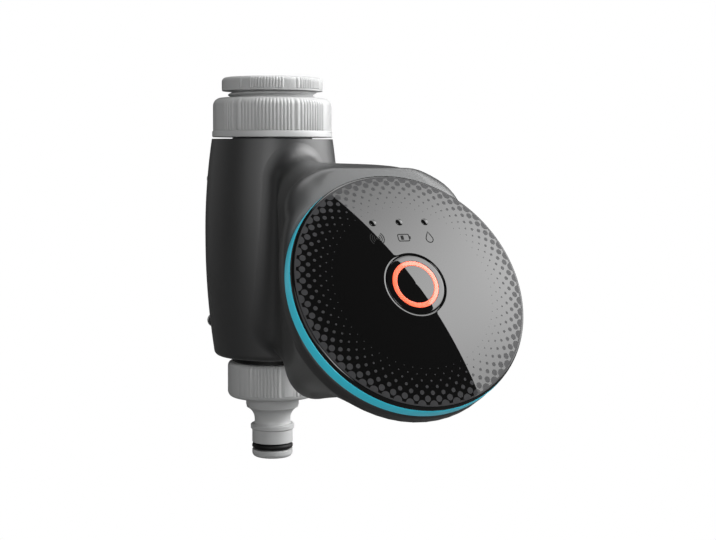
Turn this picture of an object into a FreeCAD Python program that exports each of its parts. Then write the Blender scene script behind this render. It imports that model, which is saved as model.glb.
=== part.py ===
import FreeCAD, Part
import math
import os
import re

import Sketcher

# A tap-mounted water timer: an upright valve barrel, with a round tilted control unit on a neck
# in front of it. Millimetres. The origin is the middle of the inlet's top rim, on the barrel's
# axis. +Z is up the axis, -Y is the front and +X is the right, seen from the front.

doc = FreeCAD.newDocument("water_timer")
sheet = doc.addObject("Spreadsheet::Sheet", "Sizes")

SIZES = {
    # Inlet adapter: a male G 1 thread outside, a female G 3/4 thread inside
    "adapter_radius": 18.85,
    "adapter_flange": 5.1,
    "adapter_length": 12.3,
    "adapter_round": 1.7,
    "inlet_thread_radius": 16.6,
    "inlet_root_radius": 15.15,
    "thread_relief": 1.9,
    "thread_chamfer": 0.8,
    "tap_bore_radius": 12.06,
    "tap_bore_depth": 9.6,
    "tap_seal_radius": 12.5,
    "adapter_bore_radius": 9.4,
    "seal_thickness": 2.0,
    "seal_inset": 0.2,
    "seal_overhang": 1.6,
    # Union nut, its clip, and the seal and strainer in the neck
    "nut_gap": 2.5,
    "nut_radius": 22.15,
    "nut_height": 14.7,
    "nut_round": 3.0,
    "nut_flare": 0.4,
    "nut_band": 2.0,
    "nut_lip": 3.0,
    "running_gap": 0.07,
    "grip_count": 12,
    "grip_depth": 0.35,
    "grip_width": 3.6,
    "neck_radius": 13.0,
    "neck_wall": 3.4,
    "clip_thickness": 1.2,
    "clip_radius": 15.6,
    "clip_groove": 0.8,
    "clip_split": 6.0,
    "neck_above_clip": 1.4,
    "strainer_rim": 1.0,
    "strainer_length": 17.0,
    "strainer_radius": 8.2,
    "strainer_wall": 0.8,
    "strainer_taper": 2.0,
    "strainer_slot": 1.6,
    # Barrel of the housing
    "barrel_gap": 0.6,
    "collar_gap": 0.15,
    "collar_radius": 15.0,
    "barrel_top_radius": 22.7,
    "barrel_radius": 25.25,
    "barrel_foot_radius": 22.1,
    "barrel_height": 81.5,
    "barrel_belly": 37.5,
    "upper_bulge": 238.0,
    "lower_bulge": 285.0,
    "foot_round": 2.2,
    "wall": 2.4,
    # Head of the housing, and the neck that carries it
    "face_tilt": 28.9,
    "face_reach": 110.0,
    "face_level": -70.1,
    "head_step": 0.2,
    "head_front": 5.5,
    "head_rim": 5.4,
    "rim_step": 0.5,
    "head_top": 48.6,
    "head_shoulder": 33.6,
    "head_corner": 20.0,
    "head_side_bulge": 66.0,
    "crown_level": -32.7,
    "neck_corner": 9.5,
    "sole_corner": 10.5,
    # Neck of the housing at six distances in front of the axis; a foot is counted from the barrel's
    "neck_1_reach": 7.0,
    "neck_1_half_width": 13.5,
    "neck_1_crown": -24.0,
    "neck_1_foot": 7.4,
    "neck_2_reach": 20.0,
    "neck_2_half_width": 12.8,
    "neck_2_crown": -24.6,
    "neck_2_foot": 2.2,
    "neck_3_reach": 26.0,
    "neck_3_half_width": 11.4,
    "neck_3_crown": -28.2,
    "neck_3_foot": -0.5,
    "neck_4_reach": 34.0,
    "neck_4_half_width": 11.6,
    "neck_4_crown": -31.4,
    "neck_4_foot": -3.6,
    "neck_5_reach": 48.0,
    "neck_5_half_width": 15.0,
    "neck_5_crown": -31.9,
    "neck_5_foot": -8.0,
    "neck_6_reach": 70.0,
    "neck_6_half_width": 25.0,
    "neck_6_crown": -32.5,
    "neck_6_foot": -8.4,
    # Rear cover
    "cover_plane": 12.0,
    "slot_gap": 0.1,
    "boss_radius": 3.2,
    "boss_offset": 18.2,
    "boss_length": 11.5,
    "boss_below_top": 15.1,
    "boss_above_foot": 12.4,
    "screw_seat": 1.4,
    "screw_radius": 1.4,
    "screw_head_radius": 2.6,
    "screw_head_height": 1.8,
    "screw_clearance": 0.1,
    "rear_screw_length": 11.0,
    "screw_chamfer": 0.5,
    "drive_radius": 0.7,
    "drive_depth": 0.6,
    # Valve
    "valve_level": -62.0,
    "inlet_bore_foot": -54.5,
    "chamber_radius": 12.4,
    "chamber_face": 10.5,
    "flat_radius": 17.0,
    "ring_depth": 2.5,
    "ring_outer": 10.2,
    "seat_radius": 7.0,
    "seat_bore": 4.8,
    "seat_recess": 1.5,
    "port_radius": 3.0,
    "port_height": 9.5,
    "outlet_bore": 7.2,
    "ear_radius": 2.7,
    "ear_across": 7.0,
    "ear_up": 12.0,
    "ear_depth": 8.0,
    "ear_screw_length": 11.0,
    "diaphragm_thickness": 1.4,
    "diaphragm_rim": 0.4,
    "plate_radius": 8.6,
    "plate_thickness": 1.3,
    "lift": 2.0,
    "touch_gap": 0.02,
    "end_gap": 0.1,
    "bonnet_flange": 6.6,
    "plate_room": 0.15,
    "dome_radius": 9.2,
    "spring_groove_inner": 5.7,
    "spring_groove_outer": 7.5,
    "spring_groove_depth": 2.15,
    "spring_radius": 6.6,
    "wire_radius": 0.3,
    "spring_turns": 1.75,
    "pilot_radius": 0.8,
    "pilot_land": 0.8,
    "guide_radius": 4.6,
    "guide_bore": 3.56,
    "coil_length": 18.0,
    "coil_radius": 7.6,
    "bobbin_flange": 1.3,
    "bobbin_radius": 8.2,
    "bobbin_wall": 0.8,
    "tab_width": 12.0,
    "tab_top": 11.6,
    "yoke_thickness": 1.4,
    "yoke_half_width": 5.4,
    "yoke_half_height": 9.8,
    "core_length": 7.5,
    "core_recess": 2.4,
    "core_head_radius": 5.4,
    "core_head": 1.2,
    "plunger_radius": 3.5,
    "plunger_bore": 2.0,
    "plunger_bore_depth": 6.0,
    "plunger_tip_radius": 1.6,
    "plunger_tip": 1.4,
    "plunger_spring_radius": 1.6,
    "plunger_wire_radius": 0.3,
    "plunger_spring_turns": 6.0,
    # Outlet
    "outlet_collar_radius": 15.2,
    "outlet_collar": 0.9,
    "gasket_thickness": 1.3,
    "spigot_radius": 13.2,
    "spigot_length": 8.6,
    "connector_radius": 16.88,
    "connector_height": 13.2,
    "connector_round": 1.7,
    "tail_collar_radius": 9.6,
    "tail_collar": 2.6,
    "tail_neck_radius": 6.76,
    "tail_cove": 3.6,
    "cove_radius": 4.32,
    "tail_neck": 4.4,
    "tail_stop_radius": 8.3,
    "tail_stop": 2.3,
    "tail_stop_taper": 0.2,
    "tail_radius": 7.72,
    "tail_body": 5.1,
    "o_ring_groove": 2.75,
    "o_ring_radius": 7.8,
    "o_ring_section": 1.1,
    "tail_tip": 2.9,
    "tail_tip_rise": 1.6,
    "tail_tip_bulge": 1.9,
    "tail_tip_radius": 6.1,
    "tail_bore": 4.4,
    "connector_foot_round": 2.6,
    "connector_gap": 0.15,
    "washer_thickness": 2.0,
    "washer_inset": 0.8,
    # Control unit
    "face_radius": 39.3,
    "skirt_step": 0.6,
    "face_edge": 0.6,
    "dome_rise": 3.4,
    "panel_thickness": 2.0,
    "skirt_foot": 1.0,
    "ring_step": 0.2,
    "ring_thickness": 3.0,
    "seat_gap": 0.05,
    "case_step": 0.2,
    "case_wall": 1.8,
    "case_floor": 1.8,
    "case_back": 10.9,
    "box_front": 5.9,
    "box_wall": 1.3,
    "box_half_width": 23.4,
    "box_half_height": 27.2,
    "box_drop": -1.0,
    "box_corner": 4.0,
    "box_back": 23.2,
    "pocket_gap": 0.1,
    "bulkhead": 2.0,
    "battery_radius": 7.1,
    "battery_length": 50.3,
    "battery_round": 0.8,
    "battery_pitch": 14.7,
    "battery_level": 14.6,
    "nub_radius": 2.7,
    "nub_height": 1.0,
    "contact_thickness": 0.75,
    "cover_thickness": 1.4,
    "cover_seal": 0.6,
    "board_gap": 1.5,
    "board_thickness": 1.6,
    "button_radius": 10.0,
    "button_gap": 0.08,
    "button_travel": 0.7,
    "button_flange": 1.0,
    "button_skin": 2.6,
    "button_lip": 11.0,
    "button_post": 2.2,
    "button_rim": 0.6,
    "light_outer": 7.9,
    "light_inner": 6.3,
    "light_depth": 1.2,
    "switch_half": 3.0,
    "switch_height": 2.4,
    "stem_radius": 1.6,
    "stem_out": 1.4,
    "stem_in": 1.1,
    "window_radius": 0.95,
    "window_pitch": 9.25,
    "window_height": 21.8,
    "led_half": 1.1,
    "led_height": 0.7,
    "pin_radius": 1.0,
    "pin_play": 0.3,
    "pin_offset": 4.0,
    "pin_height": 32.3,
    "pin_length": 6.0,
    "socket_width": 14.0,
    "socket_height": 3.1,
    "socket_depth": 7.0,
    "lead_radius": 0.6,
    "lead_height": 10.6,
    "lead_set": 1.6,
    "board_screw_inset": 2.2,
    "side_screw_inset": 4.6,
    "board_screw_high": 8.0,
    "board_screw_length": 4.4,
    "board_boss_radius": 2.3,
    "pilot_floor": 1.5,
    "small_screw_radius": 1.0,
    "small_head_radius": 1.8,
    "small_head_height": 1.1,
    "radio_width": 18.0,
    "radio_height": 12.0,
    "radio_thickness": 1.8,
    "radio_drop": 20.0,
    "pad_inner": 7.6,
    "pad_outer": 10.6,
    "light_top_gap": 0.02,
}

for row, (word, number) in enumerate(SIZES.items(), start=1):
    sheet.set("A%d" % row, word)
    sheet.set("B%d" % row, str(number))
    sheet.setAlias("B%d" % row, word)
doc.recompute()

WORDS = re.compile(r"\b(" + "|".join(sorted(SIZES, key=len, reverse=True)) + r")\b")
nodes = {}


def bind(text):
    """Turn a sum of size names into an expression that reads the sheet."""
    return WORDS.sub(r"Sizes.\1", text)


def value(text):
    """Work a sum of size names out as a number."""
    return float(sheet.evalExpression(text))


def levels(*steps):
    """Join sums into one, each kept whole."""
    return " + ".join("(%s)" % step for step in steps)


# Places: "up" is the object's own frame, "front" has its axis forwards through the valve, and
# "head" has its axis out of the tilted face, with its zero at the face's outer edge. The "cell"
# frames share the head's places, with their axis up or down the face.
def locate(thing, frame, x="0", y="0", z="0"):
    """Place a thing in one of the three frames, tied to the sheet."""
    if frame == "up":
        angle = "0"
        base = (x, y, z)
    elif frame in ("front", "front_turned"):
        angle = "90" if frame == "front" else "-90"
        base = (x, "-(%s)" % z, "valve_level + (%s)" % y)
    else:
        angle = {"head": "90 - face_tilt", "head_turned": "-90 - face_tilt",
                 "cell": "-face_tilt", "cell_turned": "180 - face_tilt"}[frame]
        base = (x,
                "-face_reach + (%s) * sin(face_tilt) - (%s) * cos(face_tilt)" % (y, z),
                "face_level + (%s) * cos(face_tilt) + (%s) * sin(face_tilt)" % (y, z))
    thing.Placement = FreeCAD.Placement(FreeCAD.Vector(), FreeCAD.Rotation(FreeCAD.Vector(1, 0, 0), 1))
    thing.setExpression("Placement.Rotation.Angle", bind("(%s) * 1deg" % angle))
    for name, text in zip("xyz", base):
        thing.setExpression("Placement.Base." + name, bind("(%s) * 1mm" % text))
    return thing


def outline(sketch, corners):
    """Draw a closed outline. A corner is (x, y), or (x, y, radius, side) before an arc."""
    spots = [FreeCAD.Vector(value(c[0]), value(c[1]), 0) for c in corners]
    count = len(corners)
    starts = []
    for i, corner in enumerate(corners):
        here = spots[i]
        there = spots[(i + 1) % count]
        if len(corner) == 2:
            sketch.addGeometry(Part.LineSegment(here, there), False)
            starts.append(1)
            continue
        chord = there - here
        radius = value(corner[2])
        rise = math.sqrt(max(radius ** 2 - chord.Length ** 2 / 4, 0))
        across = FreeCAD.Vector(chord.y, -chord.x, 0).normalize() * corner[3]
        centre = (here + there) / 2 - across * rise
        forwards = (here - centre).cross(there - centre).z > 0
        first, last = (here, there) if forwards else (there, here)
        begin = math.atan2(first.y - centre.y, first.x - centre.x)
        end = math.atan2(last.y - centre.y, last.x - centre.x)
        circle = Part.Circle(centre, FreeCAD.Vector(0, 0, 1), radius)
        sketch.addGeometry(Part.ArcOfCircle(circle, begin, end), False)
        starts.append(1 if forwards else 2)
    for i, corner in enumerate(corners):
        after = (i + 1) % count
        sketch.addConstraint(Sketcher.Constraint("Coincident", i, 3 - starts[i], after, starts[after]))
        sides = (("DistanceX", corner[0], spots[i].x), ("DistanceY", corner[1], spots[i].y))
        for kind, text, number in sides:
            index = sketch.addConstraint(Sketcher.Constraint(kind, i, starts[i], number))
            sketch.setExpression("Constraints[%d]" % index, bind(text))
        if len(corner) > 2:
            index = sketch.addConstraint(Sketcher.Constraint("Radius", i, value(corner[2])))
            sketch.setExpression("Constraints[%d]" % index, bind(corner[2]))
    return sketch


def turned(name, corners, frame="up", x="0", y="0", z="0"):
    """A body turned about its own axis from an outline of (radius, height) corners."""
    body = doc.addObject("PartDesign::Body", name)
    sketch = body.newObject("Sketcher::SketchObject", name + "_profile")
    plane = next(f for f in body.Origin.OriginFeatures if f.Role == "XZ_Plane")
    sketch.AttachmentSupport = [(plane, "")]
    sketch.MapMode = "FlatFace"
    outline(sketch, corners)
    turn = body.newObject("PartDesign::Revolution", name + "_turn")
    turn.Profile = sketch
    turn.ReferenceAxis = (sketch, ["V_Axis"])
    turn.Angle = 360
    return locate(body, frame, x, y, z)


def ring(name, inner, outer, low, high, frame="up", x="0", y="0", z="0"):
    """A plain turned ring."""
    return turned(name, [(inner, low), (outer, low), (outer, high), (inner, high)], frame, x, y, z)


def rod(name, radius, length, frame="up", x="0", y="0", z="0"):
    """A plain round bar or cutter that starts at the given place."""
    bar = doc.addObject("Part::Cylinder", name)
    bar.setExpression("Radius", bind(radius))
    bar.setExpression("Height", bind(length))
    return locate(bar, frame, x, y, z)


def block(name, width, depth, height, frame="up", x="0", y="0", z="0"):
    """A box centred on its first two directions, that starts at the given place."""
    box = doc.addObject("Part::Box", name)
    box.setExpression("Length", bind(width))
    box.setExpression("Width", bind(depth))
    box.setExpression("Height", bind(height))
    return locate(box, frame, "(%s) - (%s) / 2" % (x, width), "(%s) - (%s) / 2" % (y, depth), z)


def grips(body, radius, low, high):
    """Low pads around a turned body, for the fingers, as a polar pattern."""
    name = body.Name
    sketch = body.newObject("Sketcher::SketchObject", name + "_pad")
    plane = next(f for f in body.Origin.OriginFeatures if f.Role == "XY_Plane")
    sketch.AttachmentSupport = [(plane, "")]
    sketch.MapMode = "FlatFace"
    sketch.setExpression("AttachmentOffset.Base.z", bind("(%s) * 1mm" % low))
    inside = "(%s) - grip_depth - 1" % radius
    outside = "(%s) + grip_depth" % radius
    outline(sketch, [
        (inside, "-grip_width / 2"), (outside, "-grip_width / 2"),
        (outside, "grip_width / 2"), (inside, "grip_width / 2")])
    pad = body.newObject("PartDesign::Pad", name + "_pads")
    pad.Profile = sketch
    pad.setExpression("Length", bind("(%s) - (%s)" % (high, low)))
    pattern = body.newObject("PartDesign::PolarPattern", name + "_pattern")
    pattern.Originals = [pad]
    pattern.Axis = (sketch, ["N_Axis"])
    pattern.Angle = 360
    pattern.setExpression("Occurrences", bind("grip_count"))
    body.Tip = pattern
    return body


def plug_shape(name, half_width, half_height, corner, low, high, drop):
    """A rounded rectangular prism on the head's axis, from one depth to another."""
    sketch = doc.addObject("Sketcher::SketchObject", name + "_outline")
    w = "(%s)" % half_width
    h = "(%s)" % half_height
    r = "(%s)" % corner
    outline(sketch, [
        ("-%s + %s" % (w, r), h), ("%s - %s" % (w, r), h, corner, -1),
        (w, "%s - %s" % (h, r)), (w, "-%s + %s" % (h, r), corner, -1),
        ("%s - %s" % (w, r), "-" + h), ("-%s + %s" % (w, r), "-" + h, corner, -1),
        ("-" + w, "-%s + %s" % (h, r)), ("-" + w, "%s - %s" % (h, r), corner, -1)])
    locate(sketch, "head", "0", "-(%s)" % drop, low)
    prism = doc.addObject("Part::Extrusion", name)
    prism.Base = sketch
    prism.DirMode = "Normal"
    prism.Solid = True
    prism.setExpression("LengthFwd", bind("(%s) - (%s)" % (high, low)))
    return prism


def fuse(name, *things):
    """One solid from several."""
    joined = doc.addObject("Part::MultiFuse", name)
    joined.Shapes = list(things)
    joined.Refine = True
    return joined


def cut(name, base, *tools):
    """A solid with cutters taken out of it, one after another."""
    left = base
    for i, tool in enumerate(tools, start=1):
        step = doc.addObject("Part::Cut", "%s_%d" % (name, i))
        step.Base = left
        step.Tool = tool
        left = step
    return left


def common(name, first, second):
    """What two solids share."""
    shared = doc.addObject("Part::Common", name)
    shared.Base = first
    shared.Tool = second
    return shared


def screw(name, radius, length, top_radius, top_height, frame, x, y, z):
    """A pan-head screw. Its head's seat is at the given place and its shank runs up the frame."""
    return turned(name, [
        ("0", length), (radius + " - screw_chamfer", length), (radius, length + " - screw_chamfer"),
        (radius, "0"), (top_radius, "0"), (top_radius, "-" + top_height + " + screw_chamfer"),
        (top_radius + " - screw_chamfer", "-" + top_height), ("drive_radius", "-" + top_height),
        ("drive_radius", "-" + top_height + " + drive_depth"),
        ("0", "-" + top_height + " + drive_depth")], frame, x, y, z)


def group(name, *things):
    """Several separate solids under one name."""
    kept = doc.addObject("Part::Compound", name)
    kept.Links = list(things)
    return kept


def node(name, thing):
    """Give a finished sub-part its name."""
    thing.Label = name
    nodes[name] = thing
    return thing


def coil(name, radius, wire, length, turns, frame, x="0", y="0", z="0"):
    """A helical spring of round wire."""
    helix = doc.addObject("Part::Helix", name + "_line")
    helix.setExpression("Radius", bind(radius))
    helix.setExpression("Height", bind("(%s) - 2 * (%s)" % (length, wire)))
    helix.setExpression("Pitch", bind("((%s) - 2 * (%s)) / (%s)" % (length, wire, turns)))
    section = doc.addObject("Part::Circle", name + "_wire")
    section.setExpression("Radius", bind(wire))
    section.Placement.Rotation = FreeCAD.Rotation(FreeCAD.Vector(1, 0, 0), 90)
    section.setExpression("Placement.Base.x", bind("(%s) * 1mm" % radius))
    sweep = doc.addObject("Part::Sweep", name)
    sweep.Sections = [section]
    sweep.Spine = (helix, ["Edge1"])
    sweep.Solid = True
    sweep.Frenet = True
    return locate(sweep, frame, x, y, "(%s) + (%s)" % (z, wire))


# Inlet adapter. The screw thread is the plain outer cylinder, with a relief under the flange.
NUT_TOP = "-(adapter_flange + nut_gap)"
NUT_FOOT = levels(NUT_TOP, "-nut_height")
adapter = turned("adapter_blank", [
    ("tap_seal_radius", "-tap_bore_depth"),
    ("tap_seal_radius", "-tap_bore_depth + seal_thickness"),
    ("tap_bore_radius", "-tap_bore_depth + seal_thickness"),
    ("tap_bore_radius", "0"),
    ("adapter_radius - adapter_round", "0", "adapter_round", -1),
    ("adapter_radius", "-adapter_round"),
    ("adapter_radius", "-adapter_flange"),
    ("inlet_root_radius", "-adapter_flange"),
    ("inlet_root_radius", "-adapter_flange - thread_relief"),
    ("inlet_thread_radius", "-adapter_flange - thread_relief - thread_chamfer"),
    ("inlet_thread_radius", "-adapter_length + thread_chamfer"),
    ("inlet_thread_radius - thread_chamfer", "-adapter_length"),
    ("adapter_bore_radius", "-adapter_length"),
    ("adapter_bore_radius", "-tap_bore_depth")])
node("inlet_adapter", adapter)
node("adapter_seal", ring(
    "adapter_washer", "adapter_bore_radius + seal_inset", "tap_seal_radius",
    "-tap_bore_depth", "-tap_bore_depth + seal_thickness"))

# Union nut, held on the neck by a split clip in a groove
nut = turned("nut_blank", [
    ("neck_radius + running_gap", NUT_FOOT),
    ("nut_radius + nut_flare", NUT_FOOT),
    ("nut_radius + nut_flare", levels(NUT_FOOT, "nut_band")),
    ("nut_radius", levels(NUT_FOOT, "nut_band + nut_flare")),
    ("nut_radius", levels(NUT_TOP, "-nut_round"), "nut_round", 1),
    ("nut_radius - nut_round", NUT_TOP),
    ("inlet_thread_radius + running_gap + thread_chamfer", NUT_TOP),
    ("inlet_thread_radius + running_gap", levels(NUT_TOP, "-thread_chamfer")),
    ("inlet_thread_radius + running_gap", levels(NUT_FOOT, "nut_lip")),
    ("neck_radius + running_gap", levels(NUT_FOOT, "nut_lip"))])
grips(nut, "nut_radius", levels(NUT_FOOT, "nut_band + nut_flare"), levels(NUT_TOP, "-nut_round"))
node("union_nut", nut)

LIP_TOP = levels(NUT_FOOT, "nut_lip")
CLIP_LOW = levels(LIP_TOP, "running_gap")
CLIP_TOP = levels(CLIP_LOW, "clip_thickness")
NECK_TOP = levels(CLIP_TOP, "neck_above_clip")
clip_ring = ring("clip_ring", "neck_radius - clip_groove", "clip_radius", CLIP_LOW, CLIP_TOP)
clip_split = block("clip_opening", "clip_split", "clip_radius", "2 * clip_thickness", "up",
                   "0", "clip_radius / 2 + clip_split", levels(CLIP_LOW, "-clip_thickness / 2"))
node("union_nut_clip", cut("clip_cut", clip_ring, clip_split))

neck_bore = "(neck_radius - neck_wall)"
node("inlet_seal", ring("inlet_washer", "neck_radius - neck_wall", "neck_radius + seal_overhang",
                        NECK_TOP, levels(NECK_TOP, "seal_thickness")))
STRAINER_FOOT = levels(NECK_TOP, "-strainer_length")
strainer_cup = turned("strainer_cup", [
    ("0", levels(STRAINER_FOOT, "strainer_wall")),
    ("0", STRAINER_FOOT),
    ("strainer_radius - strainer_taper", STRAINER_FOOT),
    ("strainer_radius", levels(NECK_TOP, "-strainer_rim")),
    ("neck_radius - strainer_rim", levels(NECK_TOP, "-strainer_rim")),
    ("neck_radius - strainer_rim", NECK_TOP),
    ("strainer_radius - strainer_wall", NECK_TOP),
    ("strainer_radius - strainer_wall - strainer_taper", levels(STRAINER_FOOT, "strainer_wall"))])
strainer_slots = []
SLOT_PAIRS = 4
for i in range(SLOT_PAIRS):
    slot = block("strainer_opening_%d" % (i + 1), "4 * strainer_radius", "strainer_slot",
                 "strainer_length - strainer_rim - 2 * strainer_taper")
    slot.setExpression("Placement.Rotation.Angle", None)
    slot.setExpression("Placement.Base.x", None)
    slot.setExpression("Placement.Base.y", None)
    turn_by = FreeCAD.Rotation(FreeCAD.Vector(0, 0, 1), 180.0 / SLOT_PAIRS * i)
    corner = FreeCAD.Vector(-value("2 * strainer_radius"), -value("strainer_slot / 2"), 0)
    slot.Placement = FreeCAD.Placement(turn_by.multVec(corner), turn_by)
    slot.setExpression("Placement.Base.z", bind("(%s) * 1mm" % levels(STRAINER_FOOT, "strainer_taper")))
    strainer_slots.append(slot)
node("inlet_strainer", cut("strainer_cut", strainer_cup, *strainer_slots))

# Housing: a bellied barrel, and a neck that flares into the round head
BARREL_TOP = levels(NUT_FOOT, "-barrel_gap")
BARREL_FOOT = levels(BARREL_TOP, "-barrel_height")
BELLY = levels(BARREL_TOP, "-barrel_belly")

# Radii that follow from the face: the panel's skirt, the blue ring, the head around it, the case
SKIRT = "(face_radius + skirt_step)"
RING = "(%s + ring_step)" % SKIRT
HEAD = "(%s + head_step)" % RING
CASE = "(%s - ring_thickness - case_step)" % RING


def barrel_corners(inset, top, foot):
    """The barrel's turned outline, drawn in by a wall."""
    shrink = " - (%s)" % inset
    return [
        ("0", foot),
        ("barrel_foot_radius - foot_round" + shrink, foot, "foot_round", 1),
        ("barrel_foot_radius" + shrink, levels(foot, "foot_round"), "lower_bulge", 1),
        ("barrel_radius" + shrink, BELLY, "upper_bulge", 1),
        ("barrel_top_radius" + shrink, top),
        ("0", top)]


def head_corners(inset):
    """The head's outline in the face's plane: round below, square-shouldered above."""
    r = "(%s - %s)" % (HEAD, inset)
    k = "(head_corner - %s)" % inset
    w = "(head_shoulder - %s)" % inset
    h = "(head_top - %s)" % inset
    side = ("%s * cos(20)" % r, "-%s * sin(20)" % r)
    sole = ("%s * cos(60)" % r, "-%s * sin(60)" % r)
    return [
        ("-%s + %s" % (w, k), h),
        ("%s - %s" % (w, k), h, k, -1),
        (w, "%s - %s" % (h, k), "head_side_bulge", -1),
        (side[0], side[1], r, -1),
        (sole[0], sole[1], r, -1),
        ("-" + sole[0], sole[1], r, -1),
        ("-" + side[0], side[1], "head_side_bulge", -1),
        ("-" + w, "%s - %s" % (h, k), k, -1)]


def neck_corners(station):
    """The neck's upright outline at one distance in front of the barrel's axis."""
    w = station + "_half_width"
    top = station + "_crown"
    foot = levels(BARREL_FOOT, station + "_foot")
    a = "neck_corner"
    b = "sole_corner"
    return [
        ("-%s + %s" % (w, a), top),
        ("%s - %s" % (w, a), top, a, -1),
        (w, "%s - %s" % (top, a)),
        (w, "%s + %s" % (foot, b), b, -1),
        ("%s - %s" % (w, b), foot),
        ("-%s + %s" % (w, b), foot, b, -1),
        ("-" + w, "%s + %s" % (foot, b)),
        ("-" + w, "%s - %s" % (top, a), a, -1)]


def neck_loft(name, head_inset, front):
    """The neck and the flare of the head, lofted through upright outlines to the tilted one."""
    sections = []
    for i in range(1, 7):
        sketch = doc.addObject("Sketcher::SketchObject", "%s_%d" % (name, i))
        outline(sketch, neck_corners("neck_%d" % i))
        locate(sketch, "front", "0", "-(valve_level)", "neck_%d_reach" % i)
        sections.append(sketch)
    sketch = doc.addObject("Sketcher::SketchObject", name + "_head")
    outline(sketch, head_corners(head_inset))
    locate(sketch, "head", "0", "0", "-(%s)" % front)
    sections.append(sketch)
    loft = doc.addObject("Part::Loft", name)
    loft.Sections = sections
    loft.Solid = True
    loft.Ruled = False
    return loft


barrel = turned("barrel_outer", barrel_corners("0", BARREL_TOP, BARREL_FOOT))
neck = neck_loft("neck_outer", "rim_step", "head_front + head_rim - rim_step")
rim_sketch = doc.addObject("Sketcher::SketchObject", "head_rim_outline")
outline(rim_sketch, head_corners("0"))
locate(rim_sketch, "head", "0", "0", "-(head_front + head_rim)")
rim = doc.addObject("Part::Extrusion", "head_rim_prism")
rim.Base = rim_sketch
rim.DirMode = "Normal"
rim.Solid = True
rim.setExpression("LengthFwd", bind("head_rim"))
crown_cutter = block("crown_cutter", "4 * " + HEAD, "2 * face_reach", "head_top", "up",
                     "0", "-face_reach", "crown_level")
level_rim = cut("head_rim_level", rim, crown_cutter)
outer = fuse("housing_outer", fuse("barrel_and_neck", barrel, neck), level_rim)

SHELL_TOP = levels(BARREL_TOP, "-wall")
SHELL_FOOT = levels(BARREL_FOOT, "wall")
SPIGOT_HOLE = "neck_radius + slot_gap"
COLLAR_HOLE = "collar_radius + slot_gap"
inner_barrel = turned("barrel_inner", barrel_corners("wall", SHELL_TOP, SHELL_FOOT))
HOLLOW_TOP = "(crown_level - wall)"
HOLLOW_FOOT = levels(BARREL_FOOT, "neck_2_foot + wall")
HOLLOW_HALF = "(neck_3_half_width - wall)"
hollow_sketch = doc.addObject("Sketcher::SketchObject", "neck_hollow_outline")
UPPER_CORNER = "(neck_corner - wall)"
LOWER_CORNER = "(sole_corner - wall)"
outline(hollow_sketch, [
    ("-%s + %s" % (HOLLOW_HALF, UPPER_CORNER), HOLLOW_TOP),
    ("%s - %s" % (HOLLOW_HALF, UPPER_CORNER), HOLLOW_TOP, UPPER_CORNER, -1),
    (HOLLOW_HALF, "%s - %s" % (HOLLOW_TOP, UPPER_CORNER)),
    (HOLLOW_HALF, "%s + %s" % (HOLLOW_FOOT, LOWER_CORNER), LOWER_CORNER, -1),
    ("%s - %s" % (HOLLOW_HALF, LOWER_CORNER), HOLLOW_FOOT),
    ("-%s + %s" % (HOLLOW_HALF, LOWER_CORNER), HOLLOW_FOOT, LOWER_CORNER, -1),
    ("-" + HOLLOW_HALF, "%s + %s" % (HOLLOW_FOOT, LOWER_CORNER)),
    ("-" + HOLLOW_HALF, "%s - %s" % (HOLLOW_TOP, UPPER_CORNER), UPPER_CORNER, -1)])
locate(hollow_sketch, "front", "0", "-(valve_level)", "neck_1_reach")
hollow = doc.addObject("Part::Extrusion", "neck_hollow")
hollow.Base = hollow_sketch
hollow.DirMode = "Normal"
hollow.Solid = True
hollow.setExpression("LengthFwd", bind("face_reach - neck_1_reach"))
beyond = rod("beyond_bulkhead", "2 * " + HEAD, "face_reach", "head", "0", "0",
             "-(case_back + pocket_gap + bulkhead)")
pocket_wall = plug_shape("pocket_wall", "box_half_width + pocket_gap + wall",
                         "box_half_height + pocket_gap + wall", "box_corner + wall",
                         "-(box_back + 2 * pocket_gap + wall)", "-head_front", "box_drop")
inner_neck = cut("inner_neck", hollow, beyond, pocket_wall)
recess = rod("head_recess", CASE + " + pocket_gap", "head_front + case_back + pocket_gap", "head",
             "0", "0", "-(case_back + pocket_gap)")
pocket = plug_shape("box_pocket", "box_half_width + pocket_gap", "box_half_height + pocket_gap",
                    "box_corner", "-(box_back + 2 * pocket_gap)", "-head_front", "box_drop")
holes = [
    rod("collar_hole", COLLAR_HOLE, "3 * wall", "up", "0", "0", levels(BARREL_TOP, "-1.5 * wall")),
    rod("spigot_hole", SPIGOT_HOLE, "3 * wall", "up", "0", "0", levels(BARREL_FOOT, "-1.5 * wall"))]
for side in (-1, 1):
    holes.append(rod("pin_hole_%s" % ("left" if side < 0 else "right"), "pin_radius + pin_play",
                     "3 * bulkhead", "head", "%d * pin_offset" % side, "pin_height",
                     "-(case_back + 2.5 * bulkhead)"))
shell = cut("housing_shell", outer, recess, pocket, inner_neck, inner_barrel, *holes)

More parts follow.
